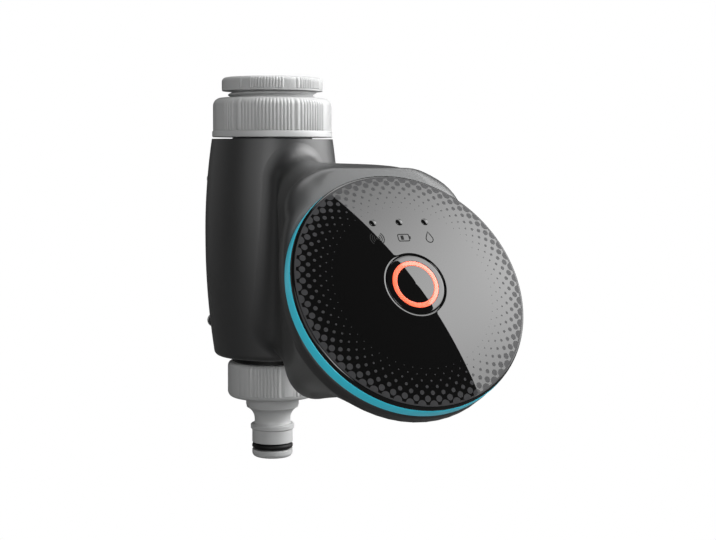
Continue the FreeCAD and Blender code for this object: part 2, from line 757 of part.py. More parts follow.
# Screw bosses beside the valve, and the split between housing and rear cover
BOSS_LEVELS = (levels(BARREL_TOP, "-boss_below_top - valve_level"),
               levels(BARREL_FOOT, "boss_above_foot - valve_level"))
BOSS_SPOTS = [(side, level) for side in (-1, 1) for level in BOSS_LEVELS]
bosses = []
pilots = []
seats = []
cover_bosses = []
rear_screws = []
for i, (side, level) in enumerate(BOSS_SPOTS, start=1):
    across = "%d * boss_offset" % side
    bosses.append(rod("boss_%d" % i, "boss_radius", "boss_length", "front", across, level, "-cover_plane"))
    pilots.append(rod("pilot_%d" % i, "screw_radius", "boss_length + 1", "front", across, level,
                      "-cover_plane"))
    cover_bosses.append(rod("cover_boss_%d" % i, "boss_radius", "2 * wall", "front", across, level,
                            "-cover_plane - 2 * wall"))
    seats.append(rod("seat_hole_%d" % i, "screw_radius + screw_clearance", "screw_seat + 1", "front",
                     across, level, "-cover_plane - screw_seat - 0.5"))
    seats.append(rod("seat_%d" % i, "screw_head_radius + screw_clearance", "10", "front", across,
                     level, "-cover_plane - screw_seat - 10"))
    rear_screws.append(screw("rear_screw_%d" % i, "screw_radius", "rear_screw_length",
                             "screw_head_radius", "screw_head_height", "front", across, level,
                             "-cover_plane - screw_seat"))
inside = fuse("boss_rods", *bosses)
kept_bosses = common("kept_bosses", inside, barrel)
split = [
    block("behind_cover_plane", "4 * barrel_radius", "4 * barrel_radius", "2 * barrel_height", "up",
          "0", "cover_plane + 2 * barrel_radius", levels(BARREL_FOOT, "-barrel_height / 2")),
    block("collar_slot", "2 * (%s)" % COLLAR_HOLE, "cover_plane + 1", "2 * wall", "up",
          "0", "(cover_plane + 1) / 2", levels(BARREL_TOP, "-wall")),
    block("spigot_slot", "2 * (%s)" % SPIGOT_HOLE, "cover_plane + 1", "2 * wall", "up",
          "0", "(cover_plane + 1) / 2", levels(BARREL_FOOT, "-wall"))]
split_region = fuse("split_region", *split)
front_shell = cut("front_shell", shell, split_region)
node("housing", cut("housing_cut", fuse("housing_bossed", front_shell, kept_bosses), *pilots))
rear_shell = common("rear_shell", shell, split_region)
kept_cover_bosses = common("kept_cover_bosses", fuse("cover_boss_rods", *cover_bosses), barrel)
node("rear_cover", cut("rear_cover_cut", fuse("rear_cover_bossed", rear_shell, kept_cover_bosses), *seats))
node("rear_screws", group("rear_screw_set", *rear_screws))

# Valve body: an upright tube with a diaphragm chamber in front and a threaded spigot below
COLLAR_TOP = levels(NUT_FOOT, "-collar_gap")
COLLAR_FOOT = levels(SHELL_TOP, "-1")
LOWER_COLLAR = levels(BARREL_FOOT, "-outlet_collar")
GASKET_FOOT = levels(LOWER_COLLAR, "-gasket_thickness")
SPIGOT_END = levels(GASKET_FOOT, "-spigot_length")
stem = turned("valve_stem", [
    ("0", NECK_TOP),
    ("neck_radius", NECK_TOP),
    ("neck_radius", CLIP_TOP),
    ("neck_radius - clip_groove", CLIP_TOP),
    ("neck_radius - clip_groove", CLIP_LOW),
    ("neck_radius", CLIP_LOW),
    ("neck_radius", COLLAR_TOP),
    ("collar_radius", COLLAR_TOP),
    ("collar_radius", COLLAR_FOOT),
    ("neck_radius", COLLAR_FOOT),
    ("neck_radius", BARREL_FOOT),
    ("outlet_collar_radius", BARREL_FOOT),
    ("outlet_collar_radius", LOWER_COLLAR),
    ("spigot_radius", LOWER_COLLAR),
    ("spigot_radius", SPIGOT_END),
    ("0", SPIGOT_END)])
EAR_SPOTS = [(x, y) for x in (-1, 1) for y in (-1, 1)]
ears = []
ear_holes = []
bonnet_ears = []
bonnet_holes = []
ear_screws = []
CHAMBER_TOP = "(chamber_face + diaphragm_thickness)"
BONNET_TOP = "(%s + bonnet_flange)" % CHAMBER_TOP
for i, (x, y) in enumerate(EAR_SPOTS, start=1):
    spot = ("%d * ear_across" % x, "%d * ear_up" % y)
    ears.append(rod("ear_%d" % i, "ear_radius", "ear_depth", "front", spot[0], spot[1],
                    "chamber_face - ear_depth"))
    ear_holes.append(rod("ear_hole_%d" % i, "small_screw_radius", "ear_depth", "front", spot[0], spot[1],
                         "chamber_face - ear_depth + small_screw_radius"))
    bonnet_ears.append(rod("bonnet_ear_%d" % i, "ear_radius", "bonnet_flange", "front",
                           spot[0], spot[1], CHAMBER_TOP))
    bonnet_holes.append(rod("bonnet_hole_%d" % i, "small_screw_radius + screw_clearance",
                            "bonnet_flange + 2", "front", spot[0], spot[1], CHAMBER_TOP + " - 1"))
    ear_screws.append(screw("bonnet_screw_%d" % i, "small_screw_radius", "ear_screw_length + 3",
                            "small_head_radius", "small_head_height", "front_turned",
                            spot[0], spot[1], BONNET_TOP))
chamber = rod("valve_chamber", "chamber_radius", "chamber_face", "front")
solid = fuse("valve_solid", stem, chamber, *ears)
ring_cutter = ring("ring_channel", "seat_radius", "ring_outer", "chamber_face - ring_depth",
                   "chamber_face + 1", "front")
seat_cutter = rod("seat_relief", "ring_outer", "seat_recess + 1", "front", "0", "0",
                  "chamber_face - seat_recess")
valve_cutters = [
    rod("inlet_bore", neck_bore, "%s - inlet_bore_foot + 1" % NECK_TOP, "up", "0", "0", "inlet_bore_foot"),
    rod("strainer_seat", "neck_radius - strainer_rim", "2 * strainer_rim", "up", "0", "0",
        levels(NECK_TOP, "-strainer_rim")),
    rod("outlet_way", "outlet_bore", "valve_level - (%s) + 1" % SPIGOT_END, "up", "0", "0",
        levels(SPIGOT_END, "-1")),
    rod("seat_way", "seat_bore", "chamber_face + 1", "front"),
    rod("inlet_port", "port_radius", "chamber_face - ring_depth + 1", "front", "0", "port_height", "0"),
    rod("chamber_flat", "flat_radius", "neck_radius", "front", "0", "0", "chamber_face"),
    ring_cutter, seat_cutter]
node("valve_body", cut("valve_cut", solid, *(valve_cutters + ear_holes)))

SEAT_TOP = "(chamber_face - seat_recess)"
node("diaphragm", turned("diaphragm_disc", [
    ("0", levels(SEAT_TOP, "touch_gap")), ("seat_radius", levels(SEAT_TOP, "touch_gap")),
    ("seat_radius + 1", "chamber_face"),
    ("chamber_radius - diaphragm_rim", "chamber_face"),
    ("chamber_radius - diaphragm_rim", CHAMBER_TOP),
    ("0", CHAMBER_TOP)], "front"))
PLATE_TOP = "(%s + plate_thickness)" % CHAMBER_TOP
node("diaphragm_plate", ring("plate_disc", "0", "plate_radius", levels(CHAMBER_TOP, "touch_gap"),
                             PLATE_TOP, "front"))
DOME_TOP = "(%s + lift + plate_room)" % PLATE_TOP
GROOVE_TOP = "(%s + spring_groove_depth)" % DOME_TOP
node("diaphragm_spring", coil("valve_spring", "spring_radius", "wire_radius",
                              "plate_room + spring_groove_depth - end_gap",
                              "spring_turns", "front", "0", "0", levels(PLATE_TOP, "touch_gap")))
bonnet_disc = rod("bonnet_disc", "chamber_radius", "bonnet_flange", "front", "0", "0", CHAMBER_TOP)
BOBBIN_TOP = "(%s + 2 * bobbin_flange + coil_length)" % BONNET_TOP
guide = rod("bonnet_guide", "guide_radius", "%s - %s + 1" % (BOBBIN_TOP, BONNET_TOP), "front", "0", "0",
            BONNET_TOP + " - 1")
PLUNGER_SEAT = "(%s + pilot_land)" % DOME_TOP
node("valve_bonnet", cut(
    "bonnet_cut", fuse("bonnet_solid", bonnet_disc, guide, *bonnet_ears),
    rod("bonnet_dome", "dome_radius", "%s - %s + 1" % (DOME_TOP, CHAMBER_TOP), "front", "0", "0",
        CHAMBER_TOP + " - 1"),
    ring("spring_groove", "spring_groove_inner", "spring_groove_outer", DOME_TOP + " - 1", GROOVE_TOP,
         "front"),
    rod("pilot_hole", "pilot_radius", "3 * pilot_land", "front", "0", "0", DOME_TOP + " - pilot_land"),
    rod("guide_way", "guide_bore", "2 * coil_length", "front", "0", "0", PLUNGER_SEAT),
    *bonnet_holes))
node("bonnet_screws", group("bonnet_screw_set", *ear_screws))

# Solenoid around the bonnet's guide tube
COIL_LOW = "(%s + yoke_thickness)" % BONNET_TOP
bobbin = turned("bobbin", [
    ("guide_radius", COIL_LOW), ("bobbin_radius", COIL_LOW),
    ("bobbin_radius", COIL_LOW + " + bobbin_flange"),
    ("guide_radius + bobbin_wall", COIL_LOW + " + bobbin_flange"),
    ("guide_radius + bobbin_wall", BOBBIN_TOP + " - yoke_thickness - bobbin_flange"),
    ("bobbin_radius", BOBBIN_TOP + " - yoke_thickness - bobbin_flange"),
    ("bobbin_radius", BOBBIN_TOP + " - yoke_thickness"),
    ("guide_radius", BOBBIN_TOP + " - yoke_thickness")], "front")
tab = block("terminal_tab", "tab_width", "tab_top - guide_radius - bobbin_wall", "bobbin_flange", "front",
            "0", "(tab_top + guide_radius + bobbin_wall) / 2",
            BOBBIN_TOP + " - yoke_thickness - bobbin_flange")
node("coil_bobbin", fuse("bobbin_and_tab", bobbin, tab))
node("coil_winding", ring("winding", "guide_radius + bobbin_wall", "coil_radius",
                          COIL_LOW + " + bobbin_flange",
                          BOBBIN_TOP + " - yoke_thickness - bobbin_flange", "front"))
YOKE_SIZE = ("2 * yoke_half_width", "2 * yoke_half_height")
yoke_low = block("yoke_low", *YOKE_SIZE, "yoke_thickness", "front", "0", "0", BONNET_TOP)
yoke_high = block("yoke_high", *YOKE_SIZE, "yoke_thickness", "front", "0", "0",
                  BOBBIN_TOP + " - yoke_thickness")
yoke_side = block("yoke_side", "2 * yoke_half_width", "yoke_thickness", "%s - %s" % (BOBBIN_TOP, BONNET_TOP),
                  "front", "0", "-(yoke_half_height - yoke_thickness / 2)", BONNET_TOP)
node("coil_yoke", cut("yoke_cut", fuse("yoke_solid", yoke_low, yoke_high, yoke_side),
                      rod("yoke_bore", "guide_radius", "2 * coil_length + 9", "front", "0", "0",
                          BONNET_TOP + " - 1")))
CORE_LOW = "(%s - core_length)" % BOBBIN_TOP
node("pole_core", turned("core", [
    ("0", CORE_LOW + " + core_recess"), ("plunger_bore", CORE_LOW + " + core_recess"),
    ("plunger_bore", CORE_LOW), ("guide_bore", CORE_LOW), ("guide_bore", BOBBIN_TOP),
    ("core_head_radius", BOBBIN_TOP), ("core_head_radius", BOBBIN_TOP + " + core_head"),
    ("0", BOBBIN_TOP + " + core_head")], "front"))
PLUNGER_TOP = "(%s - lift - end_gap)" % CORE_LOW
node("plunger", turned("plunger_bar", [
    ("0", PLUNGER_SEAT + " + seat_gap"), ("plunger_tip_radius", PLUNGER_SEAT + " + seat_gap"),
    ("plunger_radius", PLUNGER_SEAT + " + plunger_tip"), ("plunger_radius", PLUNGER_TOP),
    ("plunger_bore", PLUNGER_TOP), ("plunger_bore", PLUNGER_TOP + " - plunger_bore_depth"),
    ("0", PLUNGER_TOP + " - plunger_bore_depth")], "front"))
node("plunger_spring", coil("return_spring", "plunger_spring_radius", "plunger_wire_radius",
                            "plunger_bore_depth + core_recess",
                            "plunger_spring_turns", "front", "0", "0",
                            PLUNGER_TOP + " - plunger_bore_depth + touch_gap"))

# Outlet: a black gasket, a flat washer, and the nut with its hose tail in one piece
CONNECTOR_TOP = levels(GASKET_FOOT, "-connector_gap")
CONNECTOR_FOOT = levels(CONNECTOR_TOP, "-connector_height")
LEDGE = levels(SPIGOT_END, "-seat_gap", "-washer_thickness")
TAIL_COLLAR = levels(CONNECTOR_FOOT, "-tail_collar")
TAIL_NECK = levels(TAIL_COLLAR, "-tail_cove")
TAIL_STOP = levels(TAIL_NECK, "-tail_neck")
TAIL_BODY = levels(TAIL_STOP, "-tail_stop")
GROOVE_HIGH = levels(TAIL_BODY, "-tail_body")
GROOVE_LOW = levels(GROOVE_HIGH, "-o_ring_groove")
TAIL_END = levels(GROOVE_LOW, "-tail_tip")
GROOVE_RADIUS = "o_ring_radius - 2 * o_ring_section"
node("outlet_gasket", ring("gasket_ring", "spigot_radius", "outlet_collar_radius", GASKET_FOOT, LOWER_COLLAR))
node("outlet_washer", ring("washer_ring", "outlet_bore", "spigot_radius - washer_inset", LEDGE,
                           levels(LEDGE, "washer_thickness")))
connector = turned("connector_blank", [
    ("spigot_radius + running_gap", CONNECTOR_TOP),
    ("connector_radius - connector_round", CONNECTOR_TOP, "connector_round", -1),
    ("connector_radius", levels(CONNECTOR_TOP, "-connector_round")),
    ("connector_radius", levels(CONNECTOR_FOOT, "connector_foot_round"), "connector_foot_round", -1),
    ("connector_radius - connector_foot_round", CONNECTOR_FOOT),
    ("tail_collar_radius", CONNECTOR_FOOT),
    ("tail_collar_radius", TAIL_COLLAR, "cove_radius", 1),
    ("tail_neck_radius", TAIL_NECK),
    ("tail_neck_radius", TAIL_STOP),
    ("tail_stop_radius", TAIL_STOP),
    ("tail_stop_radius - tail_stop_taper", TAIL_BODY),
    ("tail_radius", TAIL_BODY),
    ("tail_radius", GROOVE_HIGH),
    (GROOVE_RADIUS, GROOVE_HIGH),
    (GROOVE_RADIUS, GROOVE_LOW),
    ("tail_radius", GROOVE_LOW),
    ("tail_radius", levels(TAIL_END, "tail_tip_rise"), "tail_tip_bulge", -1),
    ("tail_tip_radius", TAIL_END),
    ("tail_bore", TAIL_END),
    ("tail_bore", LEDGE),
    ("spigot_radius + running_gap", LEDGE)])
grips(connector, "connector_radius", levels(CONNECTOR_FOOT, "connector_foot_round"),
      levels(CONNECTOR_TOP, "-connector_round"))
node("outlet_connector", connector)
o_ring = doc.addObject("Part::Torus", "o_ring")
o_ring.setExpression("Radius1", bind("o_ring_radius - o_ring_section"))
o_ring.setExpression("Radius2", bind("o_ring_section"))
node("nipple_o_ring", locate(o_ring, "up", "0", "0", levels(GROOVE_LOW, "o_ring_groove / 2")))

# Control unit: domed panel, blue ring and a case with the battery box behind it
DOME_R = "((face_radius ^ 2 + dome_rise ^ 2) / (2 * dome_rise))"


def dome(radius, sink="0"):
    """The height of the domed face at a radius, less a depth."""
    return "face_edge + dome_rise - %s + sqrt(%s ^ 2 - (%s) ^ 2) - (%s)" % (DOME_R, DOME_R, radius, sink)


CASE_INNER = "(%s - case_wall)" % CASE
COVER_LOW = "-box_back"
SEAL_LOW = "(-box_back + cover_thickness)"
BOX_LOW = "(%s + cover_seal)" % SEAL_LOW
dish = rod("case_dish", CASE, "case_back - skirt_foot", "head", "0", "0", "-case_back")
dish_hollow = rod("dish_hollow", CASE_INNER, "case_back", "head", "0", "0", "-case_back + case_floor")
box = plug_shape("battery_box", "box_half_width", "box_half_height", "box_corner", BOX_LOW, "-box_front",
                 "box_drop")
cell_room = plug_shape("cell_room", "box_half_width - box_wall", "box_half_height - box_wall",
                       "box_corner - box_wall", BOX_LOW + " - 1", "-box_front - box_wall", "box_drop")
BOARD = "(%s - board_gap)" % CASE_INNER
SCREW_SIDE = "(%s - side_screw_inset)" % BOARD
BOARD_SCREWS = [(SCREW_SIDE, "board_screw_high"), ("-" + SCREW_SIDE, "board_screw_high"),
                ("0", "-(%s - board_screw_inset)" % BOARD)]
board_bosses = []
board_pilots = []
board_holes = []
board_screws = []
BOARD_TOP = "(-box_front + board_thickness)"
for i, (x, y) in enumerate(BOARD_SCREWS, start=1):
    board_bosses.append(rod("board_boss_%d" % i, "board_boss_radius", "case_back - box_front", "head",
                            x, y, "-case_back"))
    board_pilots.append(rod("board_pilot_%d" % i, "small_screw_radius", "case_back - box_front",
                            "head", x, y, "-case_back + pilot_floor"))
    board_holes.append(rod("board_hole_%d" % i, "small_screw_radius + screw_clearance",
                           "2 * board_thickness", "head", x, y, "-box_front - board_thickness / 2"))
    board_screws.append(screw("board_screw_%d" % i, "small_screw_radius", "board_screw_length",
                              "small_head_radius", "small_head_height", "head_turned", x, y, BOARD_TOP))
SOCKET_TOP = "-(case_back + pocket_gap + bulkhead)"
pins = []
pin_ways = []
socket_ways = []
leads = []
LEAD_START = "(%s - yoke_thickness)" % BOBBIN_TOP
LEAD_END = "(face_reach + (%s - socket_depth) * cos(face_tilt) - pin_height * sin(face_tilt) + lead_set)"
LEAD_END = LEAD_END % SOCKET_TOP
for side in (-1, 1):
    hand = "left" if side < 0 else "right"
    across = "%d * pin_offset" % side
    pins.append(rod("plug_pin_" + hand, "pin_radius", "case_back + pin_length - box_front", "head",
                    across, "pin_height", "-case_back - pin_length"))
    pin_ways.append(rod("case_pin_way_" + hand, "pin_radius", "3 * case_floor", "head", across,
                        "pin_height", "-case_back - case_floor"))
    socket_ways.append(rod("socket_way_" + hand, "pin_radius + running_gap", "socket_depth",
                           "head", across, "pin_height", SOCKET_TOP + " - socket_depth + 1"))
    leads.append(rod("lead_" + hand, "lead_radius", "%s - %s" % (LEAD_END, LEAD_START), "front", across,
                     "lead_height", LEAD_START))
case_solid = fuse("case_solid", cut("case_shell", dish, dish_hollow), box, *board_bosses)
node("unit_case", cut("case_cut", case_solid, cell_room, *(board_pilots + pin_ways)))
node("battery_seal", cut(
    "seal_cut",
    plug_shape("seal_outer", "box_half_width", "box_half_height", "box_corner", SEAL_LOW, BOX_LOW,
               "box_drop"),
    plug_shape("seal_inner", "box_half_width - box_wall", "box_half_height - box_wall",
               "box_corner - box_wall", SEAL_LOW + " - 1", BOX_LOW + " + 1", "box_drop")))
node("battery_cover", plug_shape("cover_plate", "box_half_width", "box_half_height", "box_corner",
                                 COVER_LOW, SEAL_LOW, "box_drop"))
contacts = []
for i in range(3):
    across = "%d * battery_pitch" % (i - 1)
    turned_over = i == 1
    frame = "cell_turned" if turned_over else "cell"
    start = "-box_drop + %s(battery_length / 2)" % ("" if turned_over else "-")
    node("battery_%d" % (i + 1), turned("cell_%d" % (i + 1), [
        ("0", "0"), ("battery_radius - battery_round", "0"), ("battery_radius", "battery_round"),
        ("battery_radius", "battery_length - nub_height - battery_round"),
        ("battery_radius - battery_round", "battery_length - nub_height"),
        ("nub_radius", "battery_length - nub_height"), ("nub_radius", "battery_length"),
        ("0", "battery_length")], frame, across, start, "-battery_level"))
    for end in (-1, 1):
        contacts.append(block(
            "contact_%d_%s" % (i + 1, "low" if end < 0 else "high"), "battery_radius", "contact_thickness",
            "battery_radius", "head", across,
            "-box_drop + %d * (battery_length / 2 + contact_thickness / 2)" % end,
            "-battery_level - battery_radius / 2"))
node("battery_contacts", group("contact_set", *contacts))

node("accent_ring", ring("blue_ring", RING + " - ring_thickness", RING,
                         "-head_front + seat_gap", "-skirt_foot", "head"))
BUTTON_HOLE = "(button_radius + button_gap)"
panel = turned("panel_disc", [
    (BUTTON_HOLE, dome(BUTTON_HOLE, "panel_thickness"), DOME_R, -1),
    (CASE_INNER, dome(CASE_INNER, "panel_thickness")),
    (CASE_INNER, "-skirt_foot"),
    (SKIRT, "-skirt_foot"),
    (SKIRT, "0"),
    ("face_radius", "face_edge", DOME_R, 1),
    (BUTTON_HOLE, dome(BUTTON_HOLE))], "head")
LIGHT_FOOT = levels(BOARD_TOP, "led_height")
lights = []
pipes = []
window_holes = []
for i in range(3):
    across = "%d * window_pitch" % (i - 1)
    reach = "sqrt((%s) ^ 2 + window_height ^ 2) + window_radius" % across
    lights.append(block("led_%d" % (i + 1), "2 * led_half", "2 * led_half", "led_height", "head",
                        across, "window_height", BOARD_TOP))
    pipes.append(rod("light_pipe_%d" % (i + 1), "window_radius",
                     "%s - (%s)" % (dome(reach), LIGHT_FOOT), "head", across, "window_height", LIGHT_FOOT))
    window_holes.append(rod("window_%d" % (i + 1), "window_radius + light_top_gap", "4 * panel_thickness",
                            "head", across, "window_height", "-panel_thickness"))
node("face_panel", cut("panel_cut", panel, *window_holes))
node("status_leds", group("led_set", *lights))
node("light_pipes", group("pipe_set", *pipes))

# Button in the middle of the panel, with its ring light, over a tact switch
LIP_TOP_LEVEL = "(%s - seat_gap)" % dome("button_lip", "panel_thickness")
LIP_LOW_LEVEL = "(%s - button_flange)" % LIP_TOP_LEVEL
SKIN_LOW = "(%s - button_skin)" % dome("0")
POST_FOOT = "(%s + switch_height + stem_out)" % BOARD_TOP
GROOVE_FLOOR = "(%s - light_depth)" % dome("light_outer")
node("button_cap", turned("cap", [
    ("0", POST_FOOT),
    ("button_post", POST_FOOT),
    ("button_post", SKIN_LOW),
    ("button_radius - button_rim", SKIN_LOW),
    ("button_radius - button_rim", LIP_LOW_LEVEL),
    ("button_lip", LIP_LOW_LEVEL),
    ("button_lip", LIP_TOP_LEVEL),
    ("button_radius", LIP_TOP_LEVEL),
    ("button_radius", dome("button_radius"), DOME_R, 1),
    ("light_outer", dome("light_outer")),
    ("light_outer", GROOVE_FLOOR),
    ("light_inner", GROOVE_FLOOR),
    ("light_inner", dome("light_inner"), DOME_R, 1),
    ("0", dome("0"))], "head"))
node("light_ring", turned("light_guide", [
    ("light_inner", GROOVE_FLOOR),
    ("light_outer", GROOVE_FLOOR),
    ("light_outer", dome("light_outer"), DOME_R, 1),
    ("light_inner", dome("light_inner"))], "head"))
node("button_pad", ring("pad_ring", "pad_inner", "pad_outer", BOARD_TOP,
                        "%s - button_travel - end_gap" % LIP_LOW_LEVEL, "head"))
SWITCH_TOP = "(%s + switch_height)" % BOARD_TOP
STEM_FOOT = "(%s - stem_in)" % SWITCH_TOP
node("switch_body", cut(
    "switch_cut",
    block("switch_block", "2 * switch_half", "2 * switch_half", "switch_height", "head", "0", "0", BOARD_TOP),
    rod("switch_way", "stem_radius + running_gap", "switch_height", "head", "0", "0",
        "%s - button_travel - seat_gap" % STEM_FOOT)))
node("switch_stem", rod("stem", "stem_radius", "%s - %s" % (POST_FOOT, STEM_FOOT), "head", "0", "0",
                        STEM_FOOT))

# Circuit board and what it carries, and the plug that joins it to the coil
node("circuit_board", cut("board_cut", rod("board_disc", BOARD, "board_thickness", "head",
                                           "0", "0", "-box_front"), *board_holes))
node("board_screws", group("board_screw_set", *board_screws))
node("radio_module", block("radio_can", "radio_width", "radio_height", "radio_thickness", "head",
                           "0", "-radio_drop", BOARD_TOP))
node("plug_pins", group("pin_set", *pins))
socket = block("socket_blank", "socket_width", "socket_height", "socket_depth", "head", "0", "pin_height",
               SOCKET_TOP + " - socket_depth")
node("socket_block", cut("socket_cut", socket, *socket_ways))
node("coil_leads", group("lead_set", *[
    cut("trimmed_" + lead.Name, lead, socket) for lead in leads]))

doc.recompute()
for item in doc.Objects:
    if "Invalid" in item.State or "Error" in item.State:
        raise RuntimeError("%s did not build" % item.Name)
for name, thing in nodes.items():
    if thing.Shape.isNull() or not thing.Shape.isValid() or not thing.Shape.Solids:
        raise RuntimeError("%s has no sound solid" % name)

os.makedirs("parts", exist_ok=True)
for name, thing in nodes.items():
    thing.Shape.exportStep("parts/%s.step" % name)
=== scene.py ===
"""Smart water timer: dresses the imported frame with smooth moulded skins, printed panel and light."""
import math

import bmesh
import bpy
from mathutils import Matrix, Vector


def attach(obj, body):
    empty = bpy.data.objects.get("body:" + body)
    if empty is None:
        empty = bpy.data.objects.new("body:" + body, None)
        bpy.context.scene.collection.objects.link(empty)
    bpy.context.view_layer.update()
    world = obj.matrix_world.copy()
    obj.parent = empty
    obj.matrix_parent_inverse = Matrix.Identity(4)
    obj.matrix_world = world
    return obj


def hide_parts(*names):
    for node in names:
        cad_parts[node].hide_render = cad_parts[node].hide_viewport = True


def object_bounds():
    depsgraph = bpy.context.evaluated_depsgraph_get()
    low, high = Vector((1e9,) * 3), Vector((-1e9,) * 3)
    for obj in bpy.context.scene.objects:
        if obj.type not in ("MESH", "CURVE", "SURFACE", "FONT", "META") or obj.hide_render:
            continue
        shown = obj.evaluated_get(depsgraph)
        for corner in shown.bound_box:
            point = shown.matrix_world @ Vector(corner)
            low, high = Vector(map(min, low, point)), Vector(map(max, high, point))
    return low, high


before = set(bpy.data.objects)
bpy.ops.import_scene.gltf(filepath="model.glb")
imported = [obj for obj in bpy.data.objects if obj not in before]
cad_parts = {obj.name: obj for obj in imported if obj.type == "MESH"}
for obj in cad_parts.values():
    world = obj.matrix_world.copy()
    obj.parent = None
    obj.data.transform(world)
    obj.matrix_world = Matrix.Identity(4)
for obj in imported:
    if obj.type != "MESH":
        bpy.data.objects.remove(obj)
cad_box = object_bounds()

MM = 0.001

# The control unit's own frame: x across, v up the face and s out of it, from the middle of the
# face's outer edge. The head and everything on the face are drawn in it.
TILT = math.radians(28.9)
FACE_MIDDLE = Vector((0.0, -110.0, -70.1)) * MM
FACE_OUT = Vector((0.0, -math.cos(TILT), math.sin(TILT)))
FACE_UP = Vector((0.0, math.sin(TILT), math.cos(TILT)))


def on_face(x, v, s=0.0):
    """A point in the control unit's frame, in metres."""
    return FACE_MIDDLE + Vector((x, 0.0, 0.0)) + FACE_UP * v + FACE_OUT * s


# Camera: a long lens left of the front and just above the middle, as in the photograph.
def placed(name, data):
    """A new object in the scene."""
    thing = bpy.data.objects.new(name, data)
    bpy.context.scene.collection.objects.link(thing)
    return thing


camera_data = bpy.data.cameras.new("camera")
camera_data.lens = 74.0
camera_data.clip_end = 20.0
camera = placed("camera", camera_data)
bpy.context.scene.camera = camera
CAMERA_TURN = math.radians(-26.4)
CAMERA_PITCH = math.radians(4.65)
CAMERA_ROLL = math.radians(0.25)
CAMERA_PLACE = Vector((-218.23, -512.59, -26.96)) * MM
camera.matrix_world = (
    Matrix.Translation(CAMERA_PLACE)
    @ Matrix.Rotation(CAMERA_TURN, 4, "Z")
    @ Matrix.Rotation(math.radians(90) - CAMERA_PITCH, 4, "X")
    @ Matrix.Rotation(CAMERA_ROLL, 4, "Z"))


# Housing, barrel: a bellied tube of matt anthracite plastic, moulded in one with the neck. Its
# profile is two shallow bulges that meet at the belly, with a rounded foot. It is open behind, where
# the rear cover closes it.
BARREL_TOP = -22.9 * MM
BARREL_FOOT = -104.4 * MM
BELLY = BARREL_TOP - 37.5 * MM
BARREL_TOP_RADIUS = 22.7 * MM
BARREL_RADIUS = 25.25 * MM
BARREL_FOOT_RADIUS = 22.1 * MM
FOOT_ROUND = 2.2 * MM
UPPER_BULGE = 238 * MM
LOWER_BULGE = 285 * MM
WALL = 2.4 * MM
COVER_PLANE = 12.0 * MM
SHARP = math.radians(35)
WELD = 1e-7


def put(name, mesh, body, *stands_for):
    """Place a finished mesh in the scene, riding on a body."""
    piece = placed(name, mesh)
    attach(piece, body)
    if stands_for:
        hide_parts(*stands_for)
    return piece


def new_material(name):
    """A new material, with its nodes, its links and its shader."""
    material = bpy.data.materials.new(name)
    material.use_nodes = True
    nodes = material.node_tree.nodes
    return material, nodes, material.node_tree.links, nodes["Principled BSDF"]


def tune(material, socket, amount):
    """Set a number or colour that is the same all over a material, on the shader's own socket."""
    material.node_tree.nodes["Principled BSDF"].inputs[socket].default_value = amount


def noise(nodes, links, scale, detail=2.0):
    """A noise fixed to the piece, from 0 to 1."""
    place = nodes.new("ShaderNodeTexCoord")
    cloud = nodes.new("ShaderNodeTexNoise")
    cloud.inputs["Scale"].default_value = scale
    cloud.inputs["Detail"].default_value = detail
    links.new(place.outputs["Object"], cloud.inputs["Vector"])
    return cloud.outputs["Fac"]


def bump(nodes, links, height, distance):
    """The normal of a fine relief."""
    relief = nodes.new("ShaderNodeBump")
    relief.inputs["Distance"].default_value = distance
    links.new(height, relief.inputs["Height"])
    return relief.outputs["Normal"]


def moulded(name, colour, roughness, grain=0.02, grain_size=0.35, spread=0.06, coat=0.0):
    """A moulded plastic: its colour drifts a little, and a fine grain shows in its bump."""
    material, nodes, links, shader = new_material(name)
    shader.inputs["Roughness"].default_value = roughness
    shader.inputs["Coat Weight"].default_value = coat
    shader.inputs["Coat Roughness"].default_value = 0.03
    shade = nodes.new("ShaderNodeMix")
    shade.data_type = "RGBA"
    shade.inputs["A"].default_value = [c * (1 - spread) for c in colour] + [1.0]
    shade.inputs["B"].default_value = [c * (1 + spread) for c in colour] + [1.0]
    links.new(noise(nodes, links, scale=40.0, detail=3.0), shade.inputs["Factor"])
    links.new(shade.outputs["Result"], shader.inputs["Base Color"])
    fine = noise(nodes, links, 1.0 / (grain_size * MM))
    links.new(bump(nodes, links, fine, grain * MM), shader.inputs["Normal"])
    return material


def wear(material, *pieces):
    """Give pieces one material."""
    for piece in pieces:
        piece.data.materials.clear()
        piece.data.materials.append(material)


def wear_nodes(material, *names):
    """Give nodes of the frame one material."""
    wear(material, *[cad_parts[name] for name in names])


def settled(bm, mesh):
    """Write a bmesh into a mesh, its faces turned outwards and shaded smooth but for sharp edges."""
    bmesh.ops.recalc_face_normals(bm, faces=bm.faces)
    bm.to_mesh(mesh)
    bm.free()
    mesh.shade_smooth()
    mesh.set_sharp_from_angle(angle=SHARP)
    return mesh


def skin(name, rings, closed=True):
    """A mesh over rings of points; each ring is closed, and the ends are capped if asked."""
    mesh = bpy.data.meshes.new(name)
    count = len(rings[0])
    points = [p for ring in rings for p in ring]
    faces = []
    for i in range(len(rings) - 1):
        for j in range(count):
            k = (j + 1) % count
            a = i * count
            b = a + count
            faces.append((a + j, a + k, b + k, b + j))
    if closed:
        faces.append(tuple(reversed(range(count))))
        last = (len(rings) - 1) * count
        faces.append(tuple(range(last, last + count)))
    mesh.from_pydata(points, [], faces)
    mesh.update()
    bm = bmesh.new()
    bm.from_mesh(mesh)
    return settled(bm, mesh)


def welded(name, rings):
    """A mesh over rings that comes back to its first ring, with the points of the seam joined."""
    mesh = skin(name, rings + [rings[0]], closed=False)
    bm = bmesh.new()
    bm.from_mesh(mesh)
    bmesh.ops.remove_doubles(bm, verts=bm.verts, dist=WELD)
    return settled(bm, mesh)


